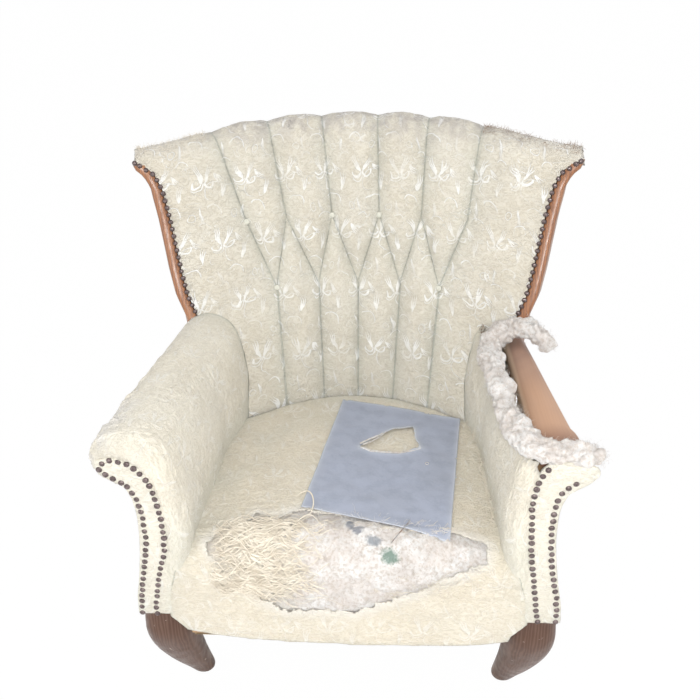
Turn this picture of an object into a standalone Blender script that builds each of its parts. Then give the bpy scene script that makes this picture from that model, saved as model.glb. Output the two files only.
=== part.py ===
"""Sagging old armchair: show-wood tub chair with a fluted back and a torn right arm.

Metres, +Z up. The origin is on the floor under the middle of the chair. The chair
faces -Y, and "left" and "right" are those of someone who looks at its front.
"""

import functools
import math

import bmesh
import bpy
from mathutils import Vector

NAME = "sagging_armchair"
CENTRE_Y = 0.024                 # moves the finished chair so that its box is centred
GAP = 0.0003                     # between pieces that touch
CURVE_GAP = 0.0008               # between curved faces that follow each other
SOFT_GAP = 0.0015                # between soft pieces that press on each other
ARM_END_GAP = 0.0030             # between the arms' padding and the curved back

# Seat frame
RAIL_BOTTOM = 0.195
RAIL_HEIGHT = 0.070
RAIL_THICK = 0.026
FRONT_RAIL_FACE = -0.3775
LEG_TOP = RAIL_BOTTOM + RAIL_HEIGHT
SIDE_RAIL_OUTER = 0.331          # distance of the side rails' outer faces from the middle line
LEG_X = SIDE_RAIL_OUTER - 0.011
LEG_Y = -0.350
BLOCK_LEG = 0.062                # corner blocks, along each rail

# Back
SEAT_LEVEL = 0.406
BACK_Y = 0.111                   # inside back at the seat, on the middle line
BACK_RAKE = 0.314
BACK_RADIUS = 0.292              # plan radius at the seat, opening upwards
BACK_OPENING = 0.68
BACK_TOP = 0.964
BACK_TOP_DROP = 0.034            # the top is lower at the corners
TOP_SHOULDER = 0.345             # the drop ends at this distance from the middle
BACK_BOTTOM = 0.325
PAD_THICK = 0.045
PAD_THIN = 0.030
OUTER_Y = 0.186                  # outside back on the middle line, at OUTER_Z
OUTER_Z = 0.230
OUTER_RAKE = 0.238
PANEL_THICK = 0.006
PANEL_BOTTOM = 0.187
ROLL_HEIGHT = 0.038
CREST_HEIGHT = 0.064
FLUTE_RISE = 0.026
SEAM_HALF = 0.004
UPPER_NODE_Z = 0.777
LOWER_NODE_Z = 0.641
UPPER_SEAMS_TOP = (-0.294, -0.184, -0.074, 0.041, 0.145, 0.252)
UPPER_NODES = (-0.229, -0.149, -0.054, 0.046, 0.134, 0.227)
LOWER_NODES = (-0.170, -0.083, 0.001, 0.091, 0.172)
LOWER_SEAMS_BOTTOM = (-0.152, -0.073, 0.001, 0.077, 0.151)

# Show rails: inner edge of the polished wood, as (x, z) on the inside back
SHOW_EDGE = ((0.312, 0.265), (0.312, 0.520), (0.322, 0.612), (0.341, 0.659), (0.352, 0.704),
             (0.361, 0.750), (0.372, 0.805), (0.385, 0.858), (0.400, 0.890), (0.413, 0.905))
SHOW_WIDTH = 0.017
SHOW_DEPTH = 0.046
SHOW_FOOT_Y = 0.020
ARM_LEVEL = 0.600                # the show rails are polished above this
PAD_WING = ((0.325, 0.262), (0.520, 0.270), (0.585, 0.302), (0.612, 0.322))

# Posts with the rear legs
POST_X = 0.235
POST_WIDTH = 0.036
POST_DEPTH = 0.036
POST_TOP_DEPTH = 0.020
REAR_FOOT_Y = 0.205

# Arms, as distances from the middle line
ARM_FRONT = -0.384
ARM_FACING_THICK = 0.010
ARM_MIDDLE = -0.130
ARM_REAR = 0.040
BOARD_TOP = 0.5880
BOARD_THICK = 0.026
ARM_POST_WIDTH = 0.036
ARM_POST_DEPTH = 0.034
SIDE_PANEL_THICK = 0.004

# Arm cover, outer and inner side of its section: (distance from the middle, height)
ARM_FRONT_OUTER = ((0.272, 0.300), (0.262, 0.360), (0.256, 0.420), (0.257, 0.480), (0.264, 0.535),
                   (0.279, 0.584), (0.308, 0.612), (0.345, 0.620), (0.381, 0.609), (0.399, 0.579),
                   (0.392, 0.546), (0.368, 0.527), (0.346, 0.520))
ARM_FRONT_INNER = ((0.288, 0.300), (0.286, 0.360), (0.283, 0.420), (0.283, 0.480), (0.285, 0.530),
                   (0.290, 0.570), (0.305, 0.5995), (0.345, 0.604), (0.372, 0.597), (0.380, 0.578),
                   (0.376, 0.558), (0.360, 0.546), (0.343, 0.541))
ARM_REAR_OUTER = ((0.240, 0.300), (0.232, 0.360), (0.227, 0.420), (0.228, 0.480), (0.237, 0.530),
                  (0.254, 0.578), (0.283, 0.608), (0.314, 0.618), (0.337, 0.611), (0.349, 0.591),
                  (0.3485, 0.573), (0.3455, 0.563), (0.3420, 0.558))
ARM_REAR_INNER = ((0.262, 0.300), (0.256, 0.360), (0.252, 0.420), (0.252, 0.480), (0.260, 0.526),
                  (0.270, 0.565), (0.288, 0.5975), (0.314, 0.6035), (0.333, 0.598), (0.3405, 0.586),
                  (0.3405, 0.576), (0.3390, 0.570), (0.3380, 0.567))
# (y, share of the way from the outer to the inner side) where the front edge rounds over
ARM_ROUNDING = ((-0.3840, 0.36), (-0.3815, 0.16), (-0.3750, 0.04), (-0.3640, 0.0))
ARM_BACK_ROWS = 6

# Seat
SEAT_FRONT = -0.402
SEAT_DOME = 0.016
SEAT_EDGE_Z = 0.402
COVER_THICK = 0.003
ROLL_RADIUS = 0.060
APRON_BOTTOM = 0.205
DECK_Z = 0.345
DECK_THICK = 0.003

# Springs and webbing
SPRING_PITCH = 0.130
SPRING_Y = -0.140
SPRING_RADIUS = 0.040
SPRING_WAIST = 0.027
SPRING_WIRE = 0.002
SPRING_TURNS = 4
WEB_WIDTH = 0.058
WEB_THICK = 0.0015
DUST_THICK = 0.0012


def clean_scene():
    for old in list(bpy.data.objects):
        bpy.data.objects.remove(old, do_unlink=True)


def new_collection(name, hidden=False):
    collection = bpy.data.collections.new(name)
    bpy.context.scene.collection.children.link(collection)
    collection.hide_render = hidden
    return collection


def material(name, colour, roughness=0.8, metallic=0.0):
    mat = bpy.data.materials.get(name)
    if mat is None:
        mat = bpy.data.materials.new(name)
        mat.use_nodes = True
        shader = mat.node_tree.nodes["Principled BSDF"]
        shader.inputs["Base Color"].default_value = (*colour, 1.0)
        shader.inputs["Roughness"].default_value = roughness
        shader.inputs["Metallic"].default_value = metallic
    return mat


def polished_wood():
    return material("polished_wood", (0.20, 0.085, 0.035), 0.28)


def frame_wood():
    return material("frame_wood", (0.42, 0.27, 0.14), 0.7)


def brocade():
    return material("brocade", (0.72, 0.68, 0.55), 0.8)


def stuffing():
    return material("stuffing", (0.80, 0.76, 0.68), 0.95)


def burlap():
    return material("burlap", (0.45, 0.33, 0.18), 0.95)


def lerp(a, b, t):
    return a + (b - a) * t


def smooth(low, high, value):
    t = min(max((value - low) / (high - low), 0.0), 1.0)
    return t * t * (3.0 - 2.0 * t)


def along(table, value):
    """Reads a table of (key, result) pairs, in rising order of key, with straight runs."""
    if value <= table[0][0]:
        return table[0][1]
    for (k0, r0), (k1, r1) in zip(table, table[1:]):
        if value <= k1:
            return lerp(r0, r1, (value - k0) / (k1 - k0))
    return table[-1][1]


def finish(name, bm, mat, flat=False):
    bmesh.ops.recalc_face_normals(bm, faces=bm.faces)
    if bm.calc_volume(signed=True) < 0.0:
        bmesh.ops.reverse_faces(bm, faces=bm.faces)
    mesh = bpy.data.meshes.new(name)
    bm.to_mesh(mesh)
    bm.free()
    mesh.materials.append(mat)
    if not flat:
        mesh.shade_smooth()
        mesh.set_sharp_from_angle(angle=math.radians(40))
    obj = bpy.data.objects.new(name, mesh)
    PART.objects.link(obj)
    obj.parent = ROOT
    return obj


def slab(name, columns, rows, front, rear, mat, flat=False):
    """A sheet of columns x rows faces at front(u, v), extruded to rear(u, v); u and v run 0 to 1."""
    bm = bmesh.new()
    bmesh.ops.create_grid(bm, x_segments=columns, y_segments=rows, size=0.5)
    place = {vert: (vert.co.x + 0.5, vert.co.y + 0.5) for vert in bm.verts}
    front_verts = list(bm.verts)
    made = bmesh.ops.extrude_face_region(bm, geom=list(bm.faces))["geom"]
    rear_verts = [item for item in made if isinstance(item, bmesh.types.BMVert)]
    for vert in rear_verts:
        vert.co = rear(vert.co.x + 0.5, vert.co.y + 0.5)
    for vert in front_verts:
        vert.co = front(*place[vert])
    return finish(name, bm, mat, flat)


def loft(name, rings, mat, flat=False):
    """A closed body through rings of as many points each."""
    bm = bmesh.new()
    loops = []
    for ring in rings:
        verts = [bm.verts.new(point) for point in ring]
        loops.append(verts)
    for low, high in zip(loops, loops[1:]):
        edges = [bm.edges.get((loop[i], loop[i - 1])) or bm.edges.new((loop[i], loop[i - 1]))
                 for loop in (low, high) for i in range(len(loop))]
        bmesh.ops.bridge_loops(bm, edges=edges)
    bm.faces.new(loops[0])
    bm.faces.new(loops[-1])
    return finish(name, bm, mat, flat)


def rounded_ring(x, y, z, half_x, half_y, sides=12, power=3.0):
    """A level ring between an ellipse and a box."""
    ring = []
    for i in range(sides):
        angle = 2.0 * math.pi * (i + 0.5) / sides
        c, s = math.cos(angle), math.sin(angle)
        reach = (abs(c) ** power + abs(s) ** power) ** (-1.0 / power)
        ring.append((x + half_x * reach * c, y + half_y * reach * s, z))
    return ring


def box(name, low, high, mat, edge=0.0):
    bm = bmesh.new()
    bmesh.ops.create_cube(bm, size=1.0)
    low, high = Vector(low), Vector(high)
    for vert in bm.verts:
        vert.co = Vector((high[i] if vert.co[i] > 0 else low[i]) for i in range(3))
    if edge:
        bmesh.ops.bevel(bm, geom=list(bm.edges), offset=edge, offset_type="OFFSET",
                        segments=2, profile=0.5, affect="EDGES")
    return finish(name, bm, mat, flat=not edge)


def outline_plate(name, points, low, high, mat, axis="z", smooth_edge=False, resolution=3):
    """A flat outline of (a, b) points between low and high along an axis."""
    curve = bpy.data.curves.new(name, "CURVE")
    curve.dimensions = "2D"
    curve.fill_mode = "BOTH"
    curve.extrude = (high - low) / 2.0
    curve.resolution_u = resolution
    spline = curve.splines.new("BEZIER" if smooth_edge else "POLY")
    if smooth_edge:
        spline.bezier_points.add(len(points) - 1)
        for knot, (a, b) in zip(spline.bezier_points, points):
            knot.co = (a, b, 0.0)
            knot.handle_left_type = knot.handle_right_type = "AUTO"
    else:
        spline.points.add(len(points) - 1)
        for knot, (a, b) in zip(spline.points, points):
            knot.co = (a, b, 0.0, 1.0)
    spline.use_cyclic_u = True
    guide = bpy.data.objects.new(name + "_outline", curve)
    PART.objects.link(guide)
    bpy.context.view_layer.update()
    mesh = bpy.data.meshes.new_from_object(guide.evaluated_get(bpy.context.evaluated_depsgraph_get()))
    bpy.data.objects.remove(guide, do_unlink=True)
    bm = bmesh.new()
    bm.from_mesh(mesh)
    bpy.data.meshes.remove(mesh)
    bmesh.ops.remove_doubles(bm, verts=bm.verts, dist=0.00002)
    middle = (low + high) / 2.0
    for vert in bm.verts:
        a, b, c = vert.co
        vert.co = (a, middle - c, b) if axis == "y" else (a, b, middle + c)
    return finish(name, bm, mat)


# The surfaces of the back

SHOW_LINE = [(height, x) for x, height in SHOW_EDGE]


def edge_x(z):
    """Distance of the show rail's inner edge from the middle line."""
    return along(SHOW_LINE, z)


def pad_edge(z):
    """Half width of the back pad, narrower where the arms hide it."""
    return min(edge_x(z), along(PAD_WING, z)) if z < PAD_WING[-1][0] else edge_x(z)


def back_y(x, z):
    """The inside back before its flutes."""
    radius = BACK_RADIUS + BACK_OPENING * max(z - SEAT_LEVEL, 0.0)
    return BACK_Y + BACK_RAKE * (z - SEAT_LEVEL) - x * x / (2.0 * radius)


def top_z(x):
    return BACK_TOP - BACK_TOP_DROP * min(abs(x) / TOP_SHOULDER, 1.0) ** 2.4


def show_top():
    """Height of the show rails' upper ends, under the roll of the pad."""
    return BACK_TOP - BACK_TOP_DROP - ROLL_HEIGHT - 0.002


def inward(x, z):
    """Level direction from the inside back towards the outside back: it turns half as far
    as the plan curve, as the timber of such backs does."""
    radius = BACK_RADIUS + BACK_OPENING * max(z - SEAT_LEVEL, 0.0)
    return Vector((0.5 * x / radius, 1.0, 0.0)).normalized()


def back_point(x, z, depth):
    return Vector((x, back_y(x, z), z)) + inward(x, z) * depth


def pad_thick(x, z):
    middle = lerp(PAD_THICK, PAD_THIN, smooth(0.50, 0.80, z))
    return middle * (1.0 - 0.62 * min(abs(x) / edge_x(z), 1.0) ** 4)


def show_section(z):
    """Inner front corner of a show rail's section, its outward and its rearward direction."""
    edge = edge_x(z)
    if z >= ARM_LEVEL:
        rear = inward(edge, z)
        corner = Vector((edge, back_y(edge, z), z))
    else:
        top = edge_x(ARM_LEVEL)
        share = max(z - LEG_TOP, 0.0) / (ARM_LEVEL - LEG_TOP)
        turn = inward(top, ARM_LEVEL)
        rear = Vector((turn.x * share, 1.0, 0.0)).normalized()
        corner = Vector((edge, lerp(SHOW_FOOT_Y, back_y(top, ARM_LEVEL), share), z))
    return corner, Vector((rear.y, -rear.x, 0.0)), rear


def show_rear_corner(z):
    corner, outward, rear = show_section(z)
    return corner + outward * SHOW_WIDTH + rear * SHOW_DEPTH


def outer_y(x, z):
    """The outside back panel's inner face."""
    side = show_rear_corner(z)
    share = min(abs(x) / side.x, 1.0)
    middle_y = OUTER_Y + OUTER_RAKE * (z - OUTER_Z) - PANEL_THICK
    power = lerp(3.0, 2.0, smooth(0.25, 0.90, z))
    return side.y + CURVE_GAP + (middle_y - side.y) * (1.0 - share ** power)


def outer_depth(x, z):
    """How far the outside back panel's inner face lies behind a point of the inside back."""
    depth = 0.06
    for _ in range(4):
        point = back_point(x, z, depth)
        depth += (outer_y(point.x, z) - point.y) * inward(x, z).y
    return depth


def seam_tracks(z):
    """The two sides of each seam, from left to right, at a height."""
    tracks = []
    rise = (z - UPPER_NODE_Z) / (BACK_TOP - UPPER_NODE_Z)
    fall = (UPPER_NODE_Z - z) / (UPPER_NODE_Z - LOWER_NODE_Z)
    sink = (LOWER_NODE_Z - z) / (LOWER_NODE_Z - SEAT_LEVEL)
    lows = [lerp(n, b, sink) for n, b in zip(LOWER_NODES, LOWER_SEAMS_BOTTOM)]
    last = len(UPPER_NODES) - 1
    for i, node in enumerate(UPPER_NODES):
        for side in (-1, 1):
            foot = min(max(i - (1 if side < 0 else 0), 0), last - 1)
            if z >= UPPER_NODE_Z:
                x = lerp(node, UPPER_SEAMS_TOP[i], rise)
            elif z >= LOWER_NODE_Z:
                x = lerp(node, LOWER_NODES[foot], fall)
            else:
                x = lows[foot]
            tracks.append((x, side))
    # At a seam the sides lie SEAM_HALF to each side of it, in the order of the tracks.
    spread = [x + side * SEAM_HALF for x, side in tracks]
    for i in range(1, len(spread)):
        spread[i] = max(spread[i], spread[i - 1] + 0.0035)
    return spread


FLUTE_STEPS = (0.0, 0.2, 0.5, 0.8)
SIDE_STEPS = (0.0, 0.30, 0.60, 0.85)


@functools.lru_cache(maxsize=None)
def back_columns(z):
    """(x, rise) of every column of the fluted pad, from edge to edge."""
    edge = pad_edge(z) - GAP
    tracks = seam_tracks(z)
    columns = []
    fade = smooth(SEAT_LEVEL - 0.03, SEAT_LEVEL + 0.12, z)
    side_fade = smooth(0.60, 0.72, z)
    for t in SIDE_STEPS:
        x = lerp(-edge, tracks[0], t)
        rise = 0.014 * math.sin(math.pi * t ** 1.6) ** 0.7 if t else 0.0
        columns.append((x, rise * side_fade))
    for left, right in zip(tracks, tracks[1:]):
        width = right - left
        height = FLUTE_RISE * smooth(0.006, 0.070, width) * lerp(0.4, 1.0, fade)
        for t in FLUTE_STEPS:
            columns.append((lerp(left, right, t), height * (4.0 * t * (1.0 - t)) ** 0.6))
    for t in reversed(SIDE_STEPS):
        x = lerp(edge, tracks[-1], t)
        rise = 0.014 * math.sin(math.pi * t ** 1.6) ** 0.7 if t else 0.0
        columns.append((x, rise * side_fade))
    columns.insert(len(SIDE_STEPS) + len(FLUTE_STEPS) * (len(tracks) - 1), (tracks[-1], 0.0))
    return columns


BACK_FACE_ROWS = 15
BACK_ROLL_ROWS = 4


def back_pad_point(u, v, outside):
    """Front face, then the roll over the crest rail; outside is the cover side."""
    rows = BACK_FACE_ROWS + BACK_ROLL_ROWS
    row = round(v * rows)
    share = min(row / BACK_FACE_ROWS, 1.0)
    # Each column's height follows the top above it, and its place follows the seams.
    probe = back_columns(lerp(BACK_BOTTOM, BACK_TOP - BACK_TOP_DROP - ROLL_HEIGHT, share))
    column = round(u * (len(probe) - 1))
    z = lerp(BACK_BOTTOM, top_z(probe[column][0]) - ROLL_HEIGHT, share)
    x, rise = back_columns(z)[column]
    thick = pad_thick(x, z)
    if row > BACK_FACE_ROWS:
        # The roll reaches over the upper ends of the show rails.
        x += math.copysign(SHOW_WIDTH * smooth(0.30, edge_x(show_top()), abs(x)), x)
    if row <= BACK_FACE_ROWS:
        return back_point(x, z, -rise if outside else thick)
    angle = math.pi * (row - BACK_FACE_ROWS) / BACK_ROLL_ROWS
    behind = outer_depth(x, z)
    if outside:
        near, far, height = -rise * (1.0 - angle / math.pi), behind + 0.004, ROLL_HEIGHT + 0.5 * rise
    else:
        near, far, height = thick, behind - 0.001, ROLL_HEIGHT - PAD_THIN + 0.004
    depth = lerp(near, far, (1.0 - math.cos(angle)) / 2.0)
    return back_point(x, z + height * math.sin(angle), depth)


def make_back_pad():
    columns = len(back_columns(0.9)) - 1
    slab("back_pad", columns, BACK_FACE_ROWS + BACK_ROLL_ROWS,
         lambda u, v: back_pad_point(u, v, True),
         lambda u, v: back_pad_point(u, v, False), brocade())


def arm_section(table_front, table_rear, share, i):
    a0, z0 = table_front[i]
    a1, z1 = table_rear[i]
    return lerp(a0, a1, share), lerp(z0, z1, share)


ARM_COLUMNS = len(ARM_FRONT_OUTER) - 1
ARM_ROWS = len(ARM_ROUNDING) - 1 + ARM_BACK_ROWS


def arm_taper(y, i=0):
    """Share of the rear section at y: the inner side turns in only towards the back, the
    outer side tapers evenly. i is the point's place in the section."""
    inner = lerp(0.0, 0.25, smooth(ARM_FRONT, ARM_MIDDLE, y)) if y < ARM_MIDDLE else \
        lerp(0.25, 1.0, smooth(ARM_MIDDLE, ARM_REAR, y))
    even = min(max((y - ARM_FRONT) / (ARM_REAR - ARM_FRONT), 0.0), 1.0)
    return lerp(inner, even, smooth(5, 8, i))


def arm_end_y(x, z):
    """Where an arm meets the back, or the show rail's front face beyond the back's edge."""
    corner, outward, _ = show_section(z)
    if x <= corner.x:
        return back_y(x, z)
    return min(corner.y, back_y(corner.x, z)) + outward.y / outward.x * (x - corner.x)


def arm_point(side, u, v, outside):
    i = round(u * ARM_COLUMNS)
    row = round(v * ARM_ROWS)
    rounding = len(ARM_ROUNDING) - 1
    rear_x, rear_z = (ARM_REAR_OUTER if outside else ARM_REAR_INNER)[i]
    rear_y = arm_end_y(rear_x, rear_z) - ARM_END_GAP
    if row <= rounding:
        y, inset = ARM_ROUNDING[row]
    else:
        y, inset = lerp(ARM_ROUNDING[-1][0], rear_y, (row - rounding) / ARM_BACK_ROWS), 0.0
    share = 1.0 if row == ARM_ROWS else arm_taper(y, i)
    x, z = arm_section(ARM_FRONT_OUTER, ARM_REAR_OUTER, share, i)
    inner_x, inner_z = arm_section(ARM_FRONT_INNER, ARM_REAR_INNER, share, i)
    if outside:
        x, z = lerp(x, inner_x, inset), lerp(z, inner_z, inset)
    else:
        x, z = inner_x, inner_z
    return Vector((side * x, y, z))


def arm_wall(y, z, inner=False):
    """Distance of the arm's inner wall from the middle line at (y, z)."""
    share = arm_taper(y)
    front = ARM_FRONT_INNER if inner else ARM_FRONT_OUTER
    rear = ARM_REAR_INNER if inner else ARM_REAR_OUTER
    wall = [arm_section(front, rear, share, i) for i in range(5)]
    return along([(height, x) for x, height in wall], z)


def cut(target, cutter):
    """Takes the cutter's shape out of the target and removes the cutter."""
    modifier = target.modifiers.new("cut", "BOOLEAN")
    modifier.operation = "DIFFERENCE"
    modifier.solver = "EXACT"
    modifier.object = cutter
    bpy.context.view_layer.update()
    graph = bpy.context.evaluated_depsgraph_get()
    mesh = bpy.data.meshes.new_from_object(target.evaluated_get(graph))
    target.modifiers.clear()
    old = target.data
    target.data = mesh
    bpy.data.meshes.remove(old)
    bpy.data.objects.remove(cutter, do_unlink=True)


# Wooden frame

# Front leg: (z, outwards, backwards, half width, half depth, squareness) from LEG_X and LEG_Y
LEG_RINGS = ((0.000, -0.026, 0.067, 0.017, 0.016, 2.2), (0.008, -0.025, 0.065, 0.022, 0.021, 2.2),
             (0.032, -0.019, 0.057, 0.025, 0.024, 2.3), (0.075, -0.009, 0.039, 0.033, 0.031, 2.4),
             (0.122, -0.001, 0.022, 0.040, 0.037, 2.6), (0.163, 0.003, 0.007, 0.043, 0.0385, 2.8),
             (0.192, 0.0035, 0.000, 0.0432, 0.0387, 3.0), (0.212, 0.003, 0.000, 0.0425, 0.0387, 3.2),
             (0.238, 0.001, 0.000, 0.0415, 0.0336, 4.0), (LEG_TOP, 0.000, 0.000, 0.040, 0.0335, 5.0))
LEG_INNER = LEG_X - 0.0412
LEG_REAR = LEG_Y + 0.0390


def make_front_legs():
    for side, word in ((-1, "left"), (1, "right")):
        rings = [rounded_ring(side * (LEG_X + out), LEG_Y + back, z, half_x, half_y, 16, power)
                 for z, out, back, half_x, half_y, power in LEG_RINGS]
        loft(word + "_front_leg", rings, polished_wood())


def rear_corner_y(z=RAIL_BOTTOM + RAIL_HEIGHT / 2.0):
    return outer_y(POST_X + POST_WIDTH / 2.0, z) - CURVE_GAP


def pad_rear_y(x, z):
    """y of the pad's rear face at x: the pad is offset square to its plan curve."""
    start = x
    for _ in range(5):
        start += x - back_point(start, z, pad_thick(start, z)).x
    return back_point(start, z, pad_thick(start, z)).y


def post_face(z, outer=True):
    """y of a back post's rear or front face."""
    rear = outer_y(POST_X + POST_WIDTH / 2.0, z) - CURVE_GAP
    if outer:
        return rear
    room = rear - pad_rear_y(POST_X - POST_WIDTH / 2.0, z) - 2.0 * CURVE_GAP
    return rear - (POST_DEPTH if z < BACK_BOTTOM - 0.03 else min(POST_DEPTH, room))


def make_frame_rails():
    top = LEG_TOP
    wood = frame_wood()
    box("front_rail", (-LEG_INNER + GAP, FRONT_RAIL_FACE, RAIL_BOTTOM),
        (LEG_INNER - GAP, FRONT_RAIL_FACE + RAIL_THICK, top), wood, edge=0.002)
    inner_x = SIDE_RAIL_OUTER - RAIL_THICK
    post_side = POST_X + POST_WIDTH / 2.0 + GAP
    rear = rear_corner_y(RAIL_BOTTOM) - CURVE_GAP
    outline = [(SIDE_RAIL_OUTER, LEG_REAR + GAP), (SIDE_RAIL_OUTER, SHOW_FOOT_Y + 0.012),
               (SIDE_RAIL_OUTER - 0.014, SHOW_FOOT_Y + 0.040), (post_side, rear),
               (post_side, rear - RAIL_THICK), (inner_x, SHOW_FOOT_Y), (inner_x, LEG_REAR + GAP)]
    for side, word in ((-1, "left"), (1, "right")):
        outline_plate(word + "_side_rail", [(side * x, y) for x, y in outline], RAIL_BOTTOM, top, wood)
        front_block = [(LEG_INNER, LEG_REAR + 0.001), (LEG_INNER, FRONT_RAIL_FACE + RAIL_THICK + GAP),
                       (LEG_INNER - BLOCK_LEG, FRONT_RAIL_FACE + RAIL_THICK + GAP),
                       (inner_x - GAP, LEG_REAR + BLOCK_LEG * 0.7), (inner_x - GAP, LEG_REAR + 0.001)]
        outline_plate(word + "_front_corner_block", [(side * x, y) for x, y in front_block],
                      RAIL_BOTTOM + 0.006, top - 0.012, wood)
        rear_block = [(post_side, rear - RAIL_THICK - 0.0008), (inner_x - 0.0006, SHOW_FOOT_Y - 0.0004),
                      (inner_x - 0.0006, SHOW_FOOT_Y - BLOCK_LEG * 0.5),
                      (post_side, rear - RAIL_THICK - BLOCK_LEG * 0.8)]
        outline_plate(word + "_rear_corner_block", [(side * x, y) for x, y in rear_block],
                      RAIL_BOTTOM + 0.006, top - 0.012, wood)


def make_back_rails():
    reach = POST_X - POST_WIDTH / 2.0 - GAP

    def rail(low, high, front):
        def point(u, v):
            x = lerp(-reach, reach, u)
            z = lerp(low, high, v)
            y = outer_y(x, z) - CURVE_GAP
            return Vector((x, y - RAIL_THICK if front else y, z))
        return point

    slab("back_rail", 12, 1, rail(RAIL_BOTTOM, LEG_TOP, True), rail(RAIL_BOTTOM, LEG_TOP, False),
         frame_wood())

    def tacking(front):
        def point(u, v):
            x = lerp(-reach, reach, u)
            z = lerp(BACK_BOTTOM, BACK_BOTTOM + 0.05, v)
            return back_point(x, z, pad_thick(x, z) + CURVE_GAP + (0.0 if front else 0.020))
        return point

    reach -= 0.026
    slab("back_tacking_rail", 12, 1, tacking(True), tacking(False), frame_wood())


def make_back_posts():
    width = POST_WIDTH / 2.0
    crest_bottom = top_z(POST_X) - ROLL_HEIGHT - CREST_HEIGHT - 0.003
    heights = [PANEL_BOTTOM - 0.006, LEG_TOP, 0.33, 0.42, 0.50, 0.60, 0.70, 0.78, crest_bottom]
    for side, word in ((-1, "left"), (1, "right")):
        rings = []
        for z, lean, slim in ((0.0, 1.0, 0.62), (0.004, 0.98, 0.70), (0.10, 0.42, 0.86)):
            rear, front = post_face(RAIL_BOTTOM), post_face(RAIL_BOTTOM, False)
            y = lerp((rear + front) / 2.0, REAR_FOOT_Y, lean)
            rings.append(rounded_ring(side * POST_X, y, z, width * slim, POST_DEPTH / 2.0 * slim, 12, 5.0))
        for z in heights:
            rear, front = post_face(z), post_face(z, False)
            rings.append(rounded_ring(side * POST_X, (rear + front) / 2.0, z, width,
                                      (rear - front) / 2.0, 12, 7.0))
        loft(word + "_back_post", rings, frame_wood())


def make_crest_rail():
    def point(front):
        def place(u, v):
            reach = edge_x(top_z(0.40) - ROLL_HEIGHT - CREST_HEIGHT) - 0.004
            x = lerp(-reach, reach, u)
            top = top_z(x) - ROLL_HEIGHT - CURVE_GAP
            z = lerp(top - CREST_HEIGHT, top, v)
            if front:
                return back_point(x, z, pad_thick(x, z) + CURVE_GAP)
            return back_point(x, z, outer_depth(x, z) - CURVE_GAP * 1.5)
        return place
    slab("crest_rail", 26, 2, point(True), point(False), frame_wood())


def make_show_rails():
    top = show_top()
    pad_rows = [lerp(BACK_BOTTOM, top + 0.002, row / BACK_FACE_ROWS) for row in range(BACK_FACE_ROWS)]
    heights = [LEG_TOP + GAP, 0.36, 0.45] + [z for z in pad_rows if z > 0.47] + [top]
    round_over = 0.0035
    for side, word in ((-1, "left"), (1, "right")):
        rings = []
        for z in heights:
            corner, outward, rear = show_section(z)
            ring = []
            for a, b in ((0.0, round_over), (round_over, 0.0), (SHOW_WIDTH - round_over, 0.0),
                         (SHOW_WIDTH, round_over), (SHOW_WIDTH, SHOW_DEPTH - round_over),
                         (SHOW_WIDTH - round_over, SHOW_DEPTH), (round_over, SHOW_DEPTH),
                         (0.0, SHOW_DEPTH - round_over)):
                point = corner + outward * (a + 2.0 * GAP) + rear * b
                ring.append((side * point.x, point.y, z))
            rings.append(ring)
        loft(word + "_show_rail", rings, polished_wood())


# Sides of the arm boards, as (y, distance from the middle line)
BOARD_INNER = ((-0.372, 0.302), (-0.345, 0.296), (0.030, 0.294))
BOARD_OUTER = ((-0.372, 0.366), (-0.362, 0.3715), (-0.316, 0.369), (-0.300, 0.3625), (-0.089, 0.344),
               (0.030, 0.3325))
# Section of an arm board: (share of the width, height above or below the board's top)
BOARD_PROFILE = ((0.0, -0.006), (0.08, 0.002), (0.25, 0.008), (0.5, 0.010), (0.75, 0.008), (0.92, 0.002),
                 (1.0, -0.006))


def make_arm_wood():
    section = show_section(BOARD_TOP - BOARD_THICK)
    rear_y = section[0].y + section[1].y * SHOW_WIDTH - CURVE_GAP
    front_y = ARM_FRONT + GAP
    stations = [BOARD_OUTER[0][0], -0.362, -0.345, -0.316, -0.300, -0.24, -0.16, -0.08, -0.02, rear_y]
    under = BOARD_TOP - BOARD_THICK
    profile = [(share, BOARD_TOP + rise) for share, rise in BOARD_PROFILE]
    profile += [(1.0, under + 0.004), (0.92, under), (0.08, under), (0.0, under + 0.004)]
    for side, word in ((-1, "left"), (1, "right")):
        rings = []
        for y in stations:
            inner, outer = along(BOARD_INNER, y), along(BOARD_OUTER, y)
            rings.append([(side * lerp(inner, outer, share), y, z) for share, z in profile])
        loft(word + "_arm_board", rings, polished_wood())

        post_x = 0.310
        low, high = sorted((side * (post_x - ARM_POST_WIDTH / 2.0), side * (post_x + ARM_POST_WIDTH / 2.0)))
        box(word + "_arm_post", (low, front_y, LEG_TOP + GAP),
            (high, front_y + ARM_POST_DEPTH, BOARD_TOP - BOARD_THICK - GAP), frame_wood(), edge=0.002)

        rings = []
        for y in (front_y + ARM_POST_DEPTH + GAP, ARM_MIDDLE, -0.034):
            x = arm_wall(y, 0.36, inner=True) + 0.0038
            rings.append([(side * (x + a), y, z) for a, z in ((0.0, 0.345), (0.018, 0.345),
                                                              (0.018, 0.385), (0.0, 0.385))])
        loft(word + "_arm_tacking_rail", rings, frame_wood(), flat=True)


# Suspension

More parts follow.
